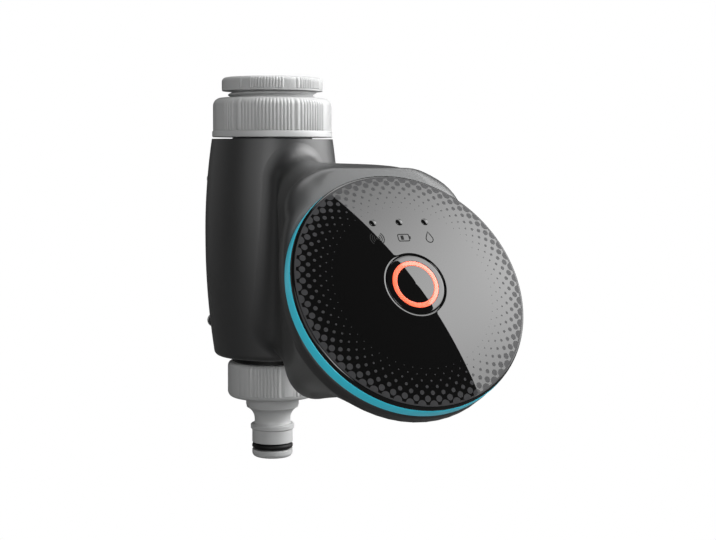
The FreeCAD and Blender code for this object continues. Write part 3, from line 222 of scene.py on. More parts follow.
def carve(piece, *cutters):
    """Take cutter meshes out of a piece, exactly, and drop them."""
    for cutter in cutters:
        tool = placed("cutter", cutter)
        step = piece.modifiers.new("carve", "BOOLEAN")
        step.operation = "DIFFERENCE"
        step.solver = "EXACT"
        step.object = tool
        bpy.context.view_layer.update()
        solved = piece.evaluated_get(bpy.context.evaluated_depsgraph_get())
        whole = bpy.data.meshes.new_from_object(solved)
        piece.modifiers.clear()
        piece.data = whole
        bpy.data.objects.remove(tool)
    piece.data.shade_smooth()
    piece.data.set_sharp_from_angle(angle=SHARP)


def arc_between(start, end, radius, steps):
    """Points along the arc between two places, bulging to the left of the way from start to end."""
    start = Vector(start)
    end = Vector(end)
    chord = end - start
    across = Vector((chord.y, -chord.x)).normalized()
    centre = (start + end) / 2 + across * math.sqrt(max(radius ** 2 - chord.length_squared / 4, 0.0))
    first = start - centre
    turn = first.angle_signed(end - centre)
    return [centre + Matrix.Rotation(-turn * i / steps, 2) @ first for i in range(steps + 1)]


def barrel_profile(inset):
    """The barrel's outer line from the top edge to the foot's flat, drawn in by an inset."""
    top = (BARREL_TOP_RADIUS - inset, BARREL_TOP - inset)
    belly = (BARREL_RADIUS - inset, BELLY)
    low = (BARREL_FOOT_RADIUS - inset, BARREL_FOOT + FOOT_ROUND + inset)
    foot = (BARREL_FOOT_RADIUS - FOOT_ROUND - inset, BARREL_FOOT + inset)
    return (arc_between(top, belly, UPPER_BULGE, 16) + arc_between(belly, low, LOWER_BULGE, 18)[1:]
            + arc_between(low, foot, FOOT_ROUND, 6)[1:])


def barrel_radius_at(z):
    """The barrel's outer radius at a height."""
    line = barrel_profile(0.0)
    if z >= line[0].y:
        return line[0].x
    for upper, lower in zip(line, line[1:]):
        if lower.y <= z <= upper.y:
            share = (upper.y - z) / max(upper.y - lower.y, 1e-9)
            return upper.x + (lower.x - upper.x) * share
    return line[-1].x


def circle_places(radius, steps):
    """Places evenly around a circle, as (across, up)."""
    return [(radius * math.cos(2 * math.pi * j / steps), radius * math.sin(2 * math.pi * j / steps))
            for j in range(steps)]


def turned(name, profile, steps=160):
    """A mesh turned about the upright axis from a closed outline of (radius, height) places."""
    return welded(name, [[Vector((x, y, height)) for x, y in circle_places(radius, steps)]
                         for radius, height in profile])


def box_mesh(name, low, high):
    """A cutter box between two corners."""
    mesh = bpy.data.meshes.new(name)
    bm = bmesh.new()
    bmesh.ops.create_cube(bm, size=1.0)
    for vert in bm.verts:
        for i in range(3):
            vert.co[i] = low[i] + (vert.co[i] + 0.5) * (high[i] - low[i])
    bm.to_mesh(mesh)
    bm.free()
    return mesh


COLLAR_HOLE = 15.1 * MM
SPIGOT_HOLE = 13.1 * MM
outer_line = barrel_profile(0.0)
inner_line = list(reversed(barrel_profile(WALL)))
barrel_line = [(COLLAR_HOLE, BARREL_TOP)] + outer_line + [(SPIGOT_HOLE, BARREL_FOOT)]
barrel_line += [(SPIGOT_HOLE, BARREL_FOOT + WALL)] + inner_line + [(COLLAR_HOLE, BARREL_TOP - WALL)]
barrel = put("housing_barrel", turned("housing_barrel", barrel_line, 192), "housing", "housing")
REACH = 40 * MM
BELOW = -0.2
SLOT_START = -1e-5
NECK_HOLLOW = 4.5 * MM
NECK_WAY_FOOT = -98.0 * MM
NECK_WAY_TOP = -36.0 * MM
NECK_WAY_BACK = -8 * MM
carve(barrel,
      box_mesh("behind", (-REACH, COVER_PLANE, BELOW), (REACH, REACH, 0.0)),
      box_mesh("collar_way", (-COLLAR_HOLE, SLOT_START, BARREL_TOP - 2 * WALL), (COLLAR_HOLE, REACH, 0.0)),
      box_mesh("spigot_way", (-SPIGOT_HOLE, SLOT_START, BELOW),
               (SPIGOT_HOLE, REACH, BARREL_FOOT + 2 * WALL)),
      box_mesh("neck_way", (-NECK_HOLLOW, -REACH, NECK_WAY_FOOT),
               (NECK_HOLLOW, NECK_WAY_BACK, NECK_WAY_TOP)))

# Housing, neck and head: a tube of the same moulding. It leaves the barrel in a soft blend, narrows,
# and flares into the round rim that holds the control unit. Near the barrel it is slimmer above than
# below. Each station is (reach, half width above, half width below, crown, sole), in millimetres.
STATIONS = [(7.0, 6.6, 12.6, -30.6, -97.0),
            (20.0, 6.8, 12.0, -30.6, -102.2),
            (26.0, 8.4, 11.2, -30.8, -104.9),
            (34.0, 12.0, 11.8, -31.1, -108.0),
            (48.0, 18.5, 15.8, -31.5, -113.3),
            (70.0, 25.0, 22.9, -32.0, -108.3)]
RIM_SPOT = 96.0
CROWN_CORNER = 14.0
SOLE_CORNER = 12.5
LEAST_FLAT = 0.6
CROWN_FRONT = -32.6
CROWN_SLOPE = 0.143
RIM_RADIUS = 40.3
RIM_TOP = 46.5
RIM_SHOULDER = 32.3
RIM_CORNER = 16.4
RIM_SIDE_BULGE = 66.0
RIM_BACK = -10.4
RIM_FRONT = -5.5
RIM_ROUND = 1.6
RIM_ROUND_ROWS = 11
RIM_SIDE_END = math.radians(20)
RIM_SOLE_START = math.radians(60)
HEAD_CIRCLE = 39.5
SHOULDER_ROUND = 7.5
SHOULDER_DEPTH = 4.7
SOFT_FROM = Vector((12.0, 20.0))
SOFT_OVER = Vector((13.0, 14.0))
STEPS = (14, 10, 22, 12, 10, 12, 22, 10)


def ring_through(corners, radii):
    """A ring of points through eight corners: arcs, and straight lines where the radius is None."""
    ring = []
    for i, radius in enumerate(radii):
        here = corners[i]
        there = corners[(i + 1) % 8]
        if radius is None:
            ring += [Vector(here).lerp(Vector(there), k / STEPS[i]) for k in range(STEPS[i])]
        else:
            ring += arc_between(here, there, radius, STEPS[i])[:-1]
    return ring


def neck_ring(upper, lower, crown, sole):
    """The neck's rounded outline, clockwise from the crown's left end, as (x, z) in millimetres."""
    a = min(CROWN_CORNER, upper - LEAST_FLAT)
    b = min(SOLE_CORNER, lower - LEAST_FLAT)
    corners = [(-upper + a, crown), (upper - a, crown), (upper, crown - a), (lower, sole + b),
               (lower - b, sole), (-lower + b, sole), (-lower, sole + b), (-upper, crown - a)]
    return ring_through(corners, [None, a, None, b, None, b, None, a])


def rim_ring(inset=0.0):
    """The head's outline in the face's plane, as (x, v) in millimetres, matched to the neck's."""
    r = RIM_RADIUS - inset
    k = RIM_CORNER - inset
    w = RIM_SHOULDER - inset
    h = RIM_TOP - inset
    side = (r * math.cos(RIM_SIDE_END), -r * math.sin(RIM_SIDE_END))
    sole = (r * math.cos(RIM_SOLE_START), -r * math.sin(RIM_SOLE_START))
    corners = [(-w + k, h), (w - k, h), (w, h - k), side, sole, (-sole[0], sole[1]), (-side[0], side[1]),
               (-w, h - k)]
    return ring_through(corners, [None, k, RIM_SIDE_BULGE, r, r, r, RIM_SIDE_BULGE, k])


def rim_point(p, s):
    """A place of the outline at a depth behind the face, kept under the sloping crown, in metres."""
    crown = CROWN_FRONT + CROWN_SLOPE * (RIM_FRONT - s)
    highest = (crown - FACE_MIDDLE.z / MM - s * math.sin(TILT)) / math.cos(TILT)
    return on_face(p.x * MM, min(p.y, highest) * MM, s * MM)


def rim_soft(p):
    """How soft the rim's rounding is at a place: 1 where the shoulders stand outside the circle."""
    sideways = min(max((abs(p.x) - SOFT_FROM.x) / SOFT_OVER.x, 0.0), 1.0)
    upwards = min(max((p.y - SOFT_FROM.y) / SOFT_OVER.y, 0.0), 1.0)
    away = sideways * upwards
    return away * away * (3 - 2 * away)


def rim_round(turned_in):
    """A row of the rim's rounding, which grows soft and deep at the shoulders."""
    row = []
    for outer, inner in zip(rim_ring(), rim_ring(SHOULDER_ROUND)):
        soft = rim_soft(outer)
        widest = max(min(SHOULDER_ROUND, outer.length - HEAD_CIRCLE), RIM_ROUND)
        size = RIM_ROUND + (widest - RIM_ROUND) * soft
        depth = RIM_ROUND + (SHOULDER_DEPTH - RIM_ROUND) * soft
        moved = outer.lerp(inner, size * (1 - math.cos(turned_in)) / SHOULDER_ROUND)
        row.append(rim_point(moved, RIM_FRONT - depth * (1 - math.sin(turned_in))))
    return row


def spline(points, spots):
    """Natural cubic curves through points at rising spots; returns a function of the spot."""
    count = len(points)
    bends = [Vector((0, 0, 0)) for _ in points]
    lower = [0.0] * count
    right = [Vector((0, 0, 0)) for _ in points]
    for i in range(1, count - 1):
        before = spots[i] - spots[i - 1]
        after = spots[i + 1] - spots[i]
        pull = ((points[i + 1] - points[i]) / after - (points[i] - points[i - 1]) / before) * 6
        weight = 2 * (before + after) - before * lower[i - 1]
        lower[i] = after / weight
        right[i] = (pull - right[i - 1] * before) / weight
    for i in range(count - 2, 0, -1):
        bends[i] = right[i] - bends[i + 1] * lower[i]

    def at(spot):
        i = max(0, min(count - 2, sum(1 for s in spots[1:-1] if s <= spot)))
        gap = spots[i + 1] - spots[i]
        a = (spots[i + 1] - spot) / gap
        b = (spot - spots[i]) / gap
        return (points[i] * a + points[i + 1] * b
                + (bends[i] * (a ** 3 - a) + bends[i + 1] * (b ** 3 - b)) * gap ** 2 / 6)
    return at


station_rings = [[Vector((p.x, -reach, p.y)) * MM for p in neck_ring(upper, lower, crown, sole)]
                 for reach, upper, lower, crown, sole in STATIONS]
station_rings.append([rim_point(p, RIM_BACK) for p in rim_ring()])
AROUND = len(station_rings[0])
SPOTS = [station[0] for station in STATIONS] + [RIM_SPOT]
ROWS = 44
BLEND_STEPS = 10
BLEND_CROWN = 6.5 * MM
BLEND_SIDE = 6.0 * MM
BLEND_SOLE = 1.5 * MM
BLEND_LIMIT = 1.5
CROWN_POWER = 2
SOLE_POWER = 1.2
SLOPE_STEP = 0.5 * MM
FLARE = 0.4
FLARE_STEP = 0.1
SEARCH_STEPS = 40
NECK_MIDDLE = -66 * MM
BARREL_EDGE = 0.3 * MM
BARREL_SINK = 0.004 * MM
ROOT_PLANE = -5.0 * MM
ROOT_DEPTH = 1.4 * MM
ROOT_SINK = 1.5 * MM
ROOT_SHARE = 0.7


def blend_corner(end, meet, start, beyond):
    """Where the barrel's tangent at the blend's end comes nearest to the neck's line at its start."""
    around = Vector((end.x, end.y, 0)).normalized()
    higher = barrel_radius_at(end.z + SLOPE_STEP) - barrel_radius_at(end.z - SLOPE_STEP)
    surface = (around - Vector((0, 0, 1)) * higher / (2 * SLOPE_STEP)).normalized()
    along = meet - end
    along = (along - surface * along.dot(surface)).normalized()
    back = (start - beyond).normalized()
    gap = end - start
    square = along.dot(back)
    span = max(1 - square ** 2, 1e-4)
    reach_end = (square * back.dot(gap) - along.dot(gap)) / span
    reach_start = (back.dot(gap) - square * along.dot(gap)) / span
    limit = BLEND_LIMIT * max((meet - end).length, (meet - start).length)
    reach_end = min(max(reach_end, 0.0), limit)
    reach_start = min(max(reach_start, 0.0), limit)
    return (end + along * reach_end + start + back * reach_start) / 2


def rail_line(j):
    """One line of the skin: from a root sunk in the barrel, through the blend, to the rim's back."""
    rail = spline([ring[j] for ring in station_rings], SPOTS)
    low = SPOTS[0]
    high = SPOTS[3]
    for _ in range(SEARCH_STEPS):
        middle = (low + high) / 2
        spot = rail(middle)
        if spot.xy.length < barrel_radius_at(spot.z):
            low = middle
        else:
            high = middle
    meet_spot = (low + high) / 2
    meet = rail(meet_spot)
    before = station_rings[2][(j - 1) % AROUND]
    after = station_rings[2][(j + 1) % AROUND]
    out = Vector((0, -1, 0)).cross(after - before).normalized()
    if out.dot(meet - Vector((0, meet.y, NECK_MIDDLE))) < 0:
        out = -out
    across = Vector((meet.x, meet.y, 0)).normalized()
    slide = (out - across * out.dot(across)).normalized()
    above = max(out.z, 0.0) ** CROWN_POWER
    below = max(-out.z, 0.0) ** SOLE_POWER
    size = BLEND_SIDE + (BLEND_CROWN - BLEND_SIDE) * above + (BLEND_SOLE - BLEND_SIDE) * below
    start_spot = meet_spot
    while (rail(start_spot) - meet).length < size * (1 + FLARE * (1 - below)):
        start_spot += FLARE_STEP
    start = rail(start_spot)
    end = meet + slide * size
    end.z = min(end.z, BARREL_TOP - BARREL_EDGE)
    end_radius = barrel_radius_at(end.z) - BARREL_SINK
    end.xy = end.xy.normalized() * end_radius
    corner = blend_corner(end, meet, start, rail(start_spot + 2 * FLARE_STEP))
    sunk = end.copy()
    sunk.xy = sunk.xy.normalized() * (end_radius - ROOT_SINK)
    line = [Vector((sunk.x * ROOT_SHARE, ROOT_PLANE, sunk.z)), sunk]
    for i in range(BLEND_STEPS + 1):
        t = i / BLEND_STEPS
        line.append(end * (1 - t) ** 2 + corner * 2 * t * (1 - t) + start * t ** 2)
    for i in range(1, ROWS + 1):
        line.append(rail(start_spot + (SPOTS[-1] - start_spot) * (i / ROWS)))
    return line


neck_rings = [list(ring) for ring in zip(*[rail_line(j) for j in range(AROUND)])]
for i in range(RIM_ROUND_ROWS):
    neck_rings.append(rim_round(math.radians(90 / (RIM_ROUND_ROWS - 1) * i)))
neck = put("housing_neck", skin("housing_neck", neck_rings), "housing", "housing")

# The head's pocket is cut from the skin as in the frame. The hollow through the neck is narrower than
# there, because the neck is slimmer, and the root is cut back so that it stays in the barrel's wall.
RECESS_RADIUS = 37.0
RECESS_FLOOR = -11.0
BOX_HALF_WIDTH = 23.5
BOX_HALF_HEIGHT = 27.3
BOX_RISE = 1.0
BOX_CORNER = 4.0
BOX_FLOOR = -23.4
FACE_CLEAR = 10.0
NECK_HOLLOW_HEIGHT = 31.0
NECK_HOLLOW_CORNER = 4.0
NECK_HOLLOW_MIDDLE = -67.4
NECK_HOLLOW_FRONT = -70.0
CORE_RADIUS = 0.5 * MM


def face_prism(name, ring, low, high):
    """A cutter along the face's axis from an outline of (x, v) in millimetres."""
    return skin(name, [[on_face(p[0] * MM, p[1] * MM, s * MM) for p in ring] for s in (low, high)])


def round_box(half_width, half_height, corner, rise, steps=6):
    """A rounded rectangle as (x, v) places."""
    ring = []
    for cx, cy, start in ((1, 1, 0), (-1, 1, 90), (-1, -1, 180), (1, -1, 270)):
        for i in range(steps + 1):
            a = math.radians(start + 90 * i / steps)
            ring.append((cx * (half_width - corner) + corner * math.cos(a),
                         cy * (half_height - corner) + corner * math.sin(a) + rise))
    return ring


hollow_ring = round_box(NECK_HOLLOW / MM, NECK_HOLLOW_HEIGHT, NECK_HOLLOW_CORNER, NECK_HOLLOW_MIDDLE)
hollow = skin("hollow", [[Vector((x, y, z)) * MM for x, z in hollow_ring]
                         for y in (NECK_HOLLOW_FRONT, 0.0)])
inner_side = barrel_profile(ROOT_DEPTH)
inside = turned("inside", [(CORE_RADIUS, inner_side[0].y)] + inner_side + [(CORE_RADIUS, inner_side[-1].y)])
pocket_ring = round_box(BOX_HALF_WIDTH, BOX_HALF_HEIGHT, BOX_CORNER, BOX_RISE)
carve(neck, inside, hollow,
      face_prism("recess", circle_places(RECESS_RADIUS, 160), RECESS_FLOOR, FACE_CLEAR),
      face_prism("pocket", pocket_ring, BOX_FLOOR, FACE_CLEAR))

anthracite = moulded("anthracite", (0.03, 0.0305, 0.031), 0.42, grain=0.01, grain_size=0.28)
tune(anthracite, "Specular IOR Level", 0.8)
wear(anthracite, barrel, neck)
wear_nodes(anthracite, "rear_cover")

# Inlet adapter: a light grey moulded bush, screwed into the union nut, with a one inch thread outside
# and a three-quarter inch thread inside. Its flange has fine finger ribs in clusters, with smooth
# lobes between them. A group of ribs is (first degree, last degree, count, height), with the degrees
# from the side that faces the camera.
LOOK_SIDE = -113.1
ADAPTER_RADIUS = 18.85
ADAPTER_FLANGE = 5.1
ADAPTER_FOOT = -12.3
ADAPTER_ROUND = 1.7
MALE_CREST = 16.6
MALE_ROOT = 15.15
MALE_PITCH = 2.309
FEMALE_CREST = 12.06
FEMALE_ROOT = 13.1
FEMALE_PITCH = 1.814
MALE_PHASE = 0.7654
FEMALE_PHASE = 0.2
SEAT_LEVEL = -7.6
SEAT_RADIUS = 12.5
SEAT_THICKNESS = 2.0
BORE_RADIUS = 9.4
THREAD_STEP = 0.18
RIDGE_TOP = 1.25
RIDGE_SLOPE = 2.9
ON_MALE_THREAD = 2.0
ON_FEMALE_THREAD = 3.0
RIB_STEPS = 960
FLANGE_GRIPS = [(-88, -41, 1, 0.1), (-39.4, -36.3, 1, 0.25), (-27, 13, 12, 0.34), (13.5, 27, 1, 0.08),
                (27.6, 32.2, 1, 0.34), (33, 66, 12, 0.34), (67, 88, 1, 0.1)]
RIB_EDGE = 0.8
LOBE_EDGE = 6.0


def grip(angle, groups):
    """How far the moulded ribs stand out at an angle in radians, twice round, in millimetres."""
    turned_by = (math.degrees(angle) - LOOK_SIDE + 90.0) % 180.0 - 90.0
    for first, last, count, height in groups:
        if first <= turned_by < last:
            share = (turned_by - first) / (last - first) * count
            edge = RIB_EDGE if count > 1 else min(RIB_EDGE, LOBE_EDGE / (last - first))
            return height * math.sin(math.pi * (share % 1.0)) ** edge
    return 0.0


def thread(height, angle, pitch, phase):
    """A right-handed screw ridge: 1 on its crest and 0 in its root."""
    turn = (height / pitch - angle / (2 * math.pi) + phase) % 1.0
    return max(0.0, min(1.0, RIDGE_TOP - RIDGE_SLOPE * abs(turn - 0.5)))


def bend(centre, radius, start, end, grip_start, grip_end, steps=6):
    """Places along an arc about a centre, in degrees, with the ribs' weight changing along it."""
    places = []
    for i in range(steps + 1):
        t = i / steps
        a = math.radians(start + (end - start) * t)
        places.append((centre[0] + radius * math.cos(a), centre[1] + radius * math.sin(a),
                       grip_start + (grip_end - grip_start) * t))
    return places


def turned_relief(name, line, relief):
    """A turned mesh whose radius is changed by relief(place, angle), all in millimetres."""
    rings = []
    for place in line:
        ring = []
        for j in range(RIB_STEPS):
            a = 2 * math.pi * j / RIB_STEPS
            r = place[0] + relief(place, a)
            ring.append(Vector((r * math.cos(a), r * math.sin(a), place[1])) * MM)
        rings.append(ring)
    return welded(name, rings)


def adapter_relief(place, angle):
    """Ribs on the flange, and a ridge on the outer and inner threads."""
    radius, height, weight = place
    if weight == ON_MALE_THREAD:
        return (MALE_CREST - MALE_ROOT) * thread(height, angle, MALE_PITCH, MALE_PHASE)
    if weight == ON_FEMALE_THREAD:
        return (FEMALE_CREST - FEMALE_ROOT) * thread(height, angle, FEMALE_PITCH, FEMALE_PHASE)
    return weight * grip(angle, FLANGE_GRIPS)


def thread_run(radius, start, end, mark):
    """Places along a thread from one height to another, up or down, in fine steps."""
    places = []
    height = start
    step = THREAD_STEP if end > start else -THREAD_STEP
    while (end - height) * step > 0:
        places.append((radius, height, mark))
        height += step
    return places


adapter_line = [(BORE_RADIUS, ADAPTER_FOOT, 0.0), (BORE_RADIUS, SEAT_LEVEL - SEAT_THICKNESS, 0.0),
                (SEAT_RADIUS, SEAT_LEVEL - SEAT_THICKNESS, 0.0), (SEAT_RADIUS, SEAT_LEVEL, 0.0)]
adapter_line += thread_run(FEMALE_ROOT, SEAT_LEVEL + 0.3, -0.9, ON_FEMALE_THREAD)
adapter_line += [(FEMALE_ROOT, -0.8, 0.0), (FEMALE_ROOT + 0.7, -0.1, 0.0), (FEMALE_ROOT + 0.9, 0.0, 0.0)]
adapter_line += bend((ADAPTER_RADIUS - ADAPTER_ROUND, -ADAPTER_ROUND), ADAPTER_ROUND, 90, 0, 0.0, 1.0)
adapter_line += [(ADAPTER_RADIUS, -ADAPTER_FLANGE + 0.9, 1.0),
                 (ADAPTER_RADIUS + 0.02, -ADAPTER_FLANGE + 0.7, 0.0),
                 (ADAPTER_RADIUS, -ADAPTER_FLANGE + 0.15, 0.0),
                 (ADAPTER_RADIUS - 0.15, -ADAPTER_FLANGE, 0.0)]
adapter_line += thread_run(MALE_ROOT, -ADAPTER_FLANGE, ADAPTER_FOOT + 1.0, ON_MALE_THREAD)
adapter_line += [(MALE_ROOT, ADAPTER_FOOT + 0.4, 0.0), (MALE_ROOT - 0.4, ADAPTER_FOOT, 0.0)]
adapter = put("adapter_skin", turned_relief("adapter_skin", adapter_line, adapter_relief),
              "adapter", "inlet_adapter")
light_grey = moulded("light_grey", (0.52, 0.525, 0.525), 0.38, grain=0.006, grain_size=0.25, spread=0.02)
wear(light_grey, adapter)

# Union nut: the same light grey plastic, held on the valve's neck by a clip and turned by hand. Ribs
# and rounded lobes run over its shoulder and end on a ledge above a plain band.
NUT_TOP = -7.6
NUT_FOOT = -22.3
NUT_RADIUS = 22.15
NUT_ROUND = 3.0
NUT_BAND = 2.0
NUT_FLARE = 0.4
NUT_EDGE = NUT_RADIUS + NUT_FLARE
NUT_LEDGE = NUT_FOOT + NUT_BAND
NUT_NECK = 13.07
NUT_FLOOR = 3.0
NUT_THREAD = 16.67
NUT_GRIPS = [(-88, -54, 1, 0.12), (-54, -40, 4, 0.34), (-36.5, -31, 1, 0.5), (-31, -17, 4, 0.22),
             (-17, 20.3, 11, 0.42), (22, 27, 1, 0.5), (27.5, 54, 8, 0.42), (54.5, 59, 1, 0.45),
             (59, 88, 1, 0.12)]
nut_line = [(NUT_NECK, NUT_FOOT, 0.0), (NUT_EDGE - 0.3, NUT_FOOT, 0.0),
            (NUT_EDGE, NUT_FOOT + 0.3, 0.0), (NUT_EDGE, NUT_LEDGE, 0.0),
            (NUT_EDGE - 0.1, NUT_LEDGE + 0.25, 0.0),
            (NUT_RADIUS, NUT_LEDGE + 0.5, 0.3), (NUT_RADIUS, NUT_LEDGE + 0.9, 1.0)]
nut_line += bend((NUT_RADIUS - NUT_ROUND, NUT_TOP - NUT_ROUND), NUT_ROUND, 0, 90, 1.0, 0.0, 9)
nut_line += [(17.9, NUT_TOP, 0.0), (17.2, NUT_TOP - 0.25, 0.0), (NUT_THREAD, NUT_TOP - 0.8, 0.0),
             (NUT_THREAD, NUT_FOOT + NUT_FLOOR, 0.0), (NUT_NECK, NUT_FOOT + NUT_FLOOR, 0.0)]
nut_mesh = turned_relief("nut_skin", nut_line, lambda place, a: place[2] * grip(a, NUT_GRIPS))
nut = put("nut_skin", nut_mesh, "union_nut", "union_nut")
wear(light_grey, nut)

# Outlet nut and hose tail: one moulding in a slightly darker grey, screwed on the valve's spigot. The
# nut has fine ribs, and the tail a cove, a stop collar and a groove for the o-ring.
OUTLET_TOP = -106.75
OUTLET_FOOT = -120.3
OUTLET_RADIUS = 16.88
OUTLET_ROUND = 1.7
OUTLET_FOOT_ROUND = 2.0
OUTLET_THREAD = 13.27
OUTLET_FLOOR = -117.25
TAIL_BORE = 4.4
TAIL_RADIUS = 7.72
TAIL_FOOT = -143.6
COVE_CENTRE = (12.1, -129.2)
COVE_RADIUS = 5.3
GROOVE_RADIUS = 5.6
GROOVE_TOP = -137.95
GROOVE_FOOT = -140.7
OUTLET_GRIPS = [(-88, -50, 1, 0.1), (-48, -33, 1, 0.2), (-31, -27, 1, 0.36), (-24.5, 10.5, 8, 0.42),
                (12.5, 30, 1, 0.25), (31.5, 35, 1, 0.42), (37, 72, 8, 0.42), (74, 88, 1, 0.1)]
outlet_line = [(OUTLET_THREAD, OUTLET_TOP, 0.0), (OUTLET_RADIUS - OUTLET_ROUND, OUTLET_TOP, 0.0)]
outlet_line += bend((OUTLET_RADIUS - OUTLET_ROUND, OUTLET_TOP - OUTLET_ROUND), OUTLET_ROUND,
                    90, 0, 0.2, 1.0)
outlet_line += [(OUTLET_RADIUS, OUTLET_FOOT + OUTLET_FOOT_ROUND, 1.0),
                (OUTLET_RADIUS - 0.02, OUTLET_FOOT + OUTLET_FOOT_ROUND - 0.3, 0.0)]
outlet_line += bend((OUTLET_RADIUS - OUTLET_FOOT_ROUND, OUTLET_FOOT + OUTLET_FOOT_ROUND),
                    OUTLET_FOOT_ROUND, -10, -82, 0.0, 0.0)
outlet_line += [(10.45, OUTLET_FOOT, 0.0), (10.05, OUTLET_FOOT - 0.4, 0.0), (10.05, -123.2, 0.0),
                (9.95, -123.6, 0.0)]
outlet_line += bend(COVE_CENTRE, COVE_RADIUS, 116, 180, 0.0, 0.0, 8)
outlet_line += [(6.8, -130.5, 0.0), (6.95, -130.8, 0.0), (7.9, -130.9, 0.0), (8.3, -131.3, 0.0),
                (8.25, -132.6, 0.0), (8.0, -132.9, 0.0), (TAIL_RADIUS, -133.05, 0.0)]
outlet_line += [(TAIL_RADIUS, GROOVE_TOP + 0.1, 0.0), (TAIL_RADIUS - 0.12, GROOVE_TOP, 0.0),
                (GROOVE_RADIUS, GROOVE_TOP, 0.0), (GROOVE_RADIUS, GROOVE_FOOT, 0.0),
                (TAIL_RADIUS - 0.12, GROOVE_FOOT, 0.0), (TAIL_RADIUS, GROOVE_FOOT - 0.1, 0.0),
                (TAIL_RADIUS, TAIL_FOOT + 1.6, 0.0)]
outlet_line += bend((6.1, TAIL_FOOT + 1.6), 1.6, -12, -90, 0.0, 0.0)
outlet_line += [(4.8, TAIL_FOOT, 0.0), (TAIL_BORE, TAIL_FOOT + 0.4, 0.0), (TAIL_BORE, OUTLET_FLOOR, 0.0),
                (OUTLET_THREAD, OUTLET_FLOOR, 0.0)]
outlet_mesh = turned_relief("outlet_skin", outlet_line, lambda place, a: place[2] * grip(a, OUTLET_GRIPS))
outlet = put("outlet_skin", outlet_mesh, "outlet_nut", "outlet_connector")
outlet_grey = moulded("outlet_grey", (0.47, 0.475, 0.475), 0.36, grain=0.006, grain_size=0.25, spread=0.02)
wear(outlet_grey, outlet)

# Blue ring: a coloured moulding clamped between the head's rim and the panel, with soft edges. Its
# material has a faint glow, which the real one hasn't, so that its shaded side isn't too dark.
RING_OUTER = 40.1
RING_INNER = 37.1
RING_BACK = -5.45
RING_FRONT = -1.0
RING_ROUND = 0.45
EASE_SHARE = 0.45


def face_turned(name, line, steps=256):
    """A mesh turned about the face's axis from a closed outline of (radius, s) millimetres."""
    return welded(name, [[on_face(x * MM, v * MM, s * MM) for x, v in circle_places(radius, steps)]
                         for radius, s in line])


def eased(line, radius, steps=4):
    """The closed outline of (radius, s) places with its corners eased."""
    places = []
    for i, spot in enumerate(line):
        here = Vector(spot)
        back = Vector(line[i - 1]) - here
        forth = Vector(line[(i + 1) % len(line)]) - here
        short = min(radius, EASE_SHARE * back.length, EASE_SHARE * forth.length)
        first = here + back * (short / back.length)
        last = here + forth * (short / forth.length)
        for k in range(steps + 1):
            t = k / steps
            places.append(first * (1 - t) ** 2 + here * 2 * t * (1 - t) + last * t ** 2)
    return places


ring_line = [(RING_INNER, RING_BACK), (RING_OUTER, RING_BACK),
             (RING_OUTER, RING_FRONT), (RING_INNER, RING_FRONT)]
ring = put("blue_ring_skin", face_turned("blue_ring_skin", eased(ring_line, RING_ROUND)),
           "control_unit", "accent_ring")
blue = moulded("blue", (0.035, 0.56, 0.72), 0.3, grain=0.003, grain_size=0.2, spread=0.02, coat=0.3)
tune(blue, "Emission Color", (0.03, 0.36, 0.47, 1.0))
tune(blue, "Emission Strength", 0.35)
wear(blue, ring)

# Panel: a gloss black domed disc with a bevelled edge, moulded in hard plastic, with a hole for the
# button. Matt dots of grey ink are printed on it in staggered rings, smaller towards the middle.
EDGE_RADIUS = 39.3
DOME_CHORD = EDGE_RADIUS * MM
DOME_RISE = 3.4 * MM
DOME_EDGE = 0.6 * MM
DOME_RADIUS = (DOME_CHORD ** 2 + DOME_RISE ** 2) / (2 * DOME_RISE)
PANEL_THICKNESS = 2.0
HOLE_RADIUS = 10.08
SKIRT_RADIUS = 39.9
CASE_INNER = 35.1
DOT_COUNT = 60
DOT_STEP = 1.85
DOT_LARGEST = 1.45
DOT_SHRINK = 0.72
DOT_RINGS_START = 38.6
DOT_MATTE = 0.75
DOT_EDGE = 0.12
DOT_ROWS = 6.5
DOT_LIMIT = 39.1
PANEL_BLACK = (0.0035, 0.0035, 0.0035)
INK_GREY = (0.05, 0.05, 0.052)
DOME_STEPS = (39.15, 38.6, 37.5, 36, 34, 31, 28, 25, 22, 19, 16, 13.5, 11.5, 10.75)
UNDERSIDE_STEPS = (14, 20, 26, 31)


def dome(radius):
    """The panel's height above the face's outer edge at a radius."""
    return DOME_EDGE + DOME_RISE - DOME_RADIUS + math.sqrt(DOME_RADIUS ** 2 - radius ** 2)


def crown(radius, sink=0.0):
    """The dome's height at a radius in millimetres, less a depth."""
    return dome(radius * MM) / MM - sink


panel_line = [(CASE_INNER, RING_FRONT), (SKIRT_RADIUS, RING_FRONT), (SKIRT_RADIUS, -0.05),
              (SKIRT_RADIUS - 0.1, 0.12), (EDGE_RADIUS + 0.12, 0.5)]
panel_line += [(r, crown(r)) for r in DOME_STEPS]
panel_line += [(10.5, crown(10.5) - 0.02), (10.3, crown(10.3) - 0.08), (10.15, crown(10.2) - 0.2),
               (HOLE_RADIUS, crown(10.1) - 0.45), (HOLE_RADIUS, crown(HOLE_RADIUS, PANEL_THICKNESS))]
panel_line += [(r, crown(r, PANEL_THICKNESS)) for r in UNDERSIDE_STEPS]
panel_line.append((CASE_INNER, crown(CASE_INNER, PANEL_THICKNESS)))
panel = put("panel_skin", face_turned("panel_skin", panel_line, 320), "control_unit", "face_panel")

# The print is drawn over each corner's place in the face's plane, in millimetres.
face_map = panel.data.uv_layers.new(name="face")
for loop in panel.data.loops:
    offset = panel.data.vertices[loop.vertex_index].co - FACE_MIDDLE
    face_map.data[loop.index].uv = (offset.x / MM, offset.dot(FACE_UP) / MM)


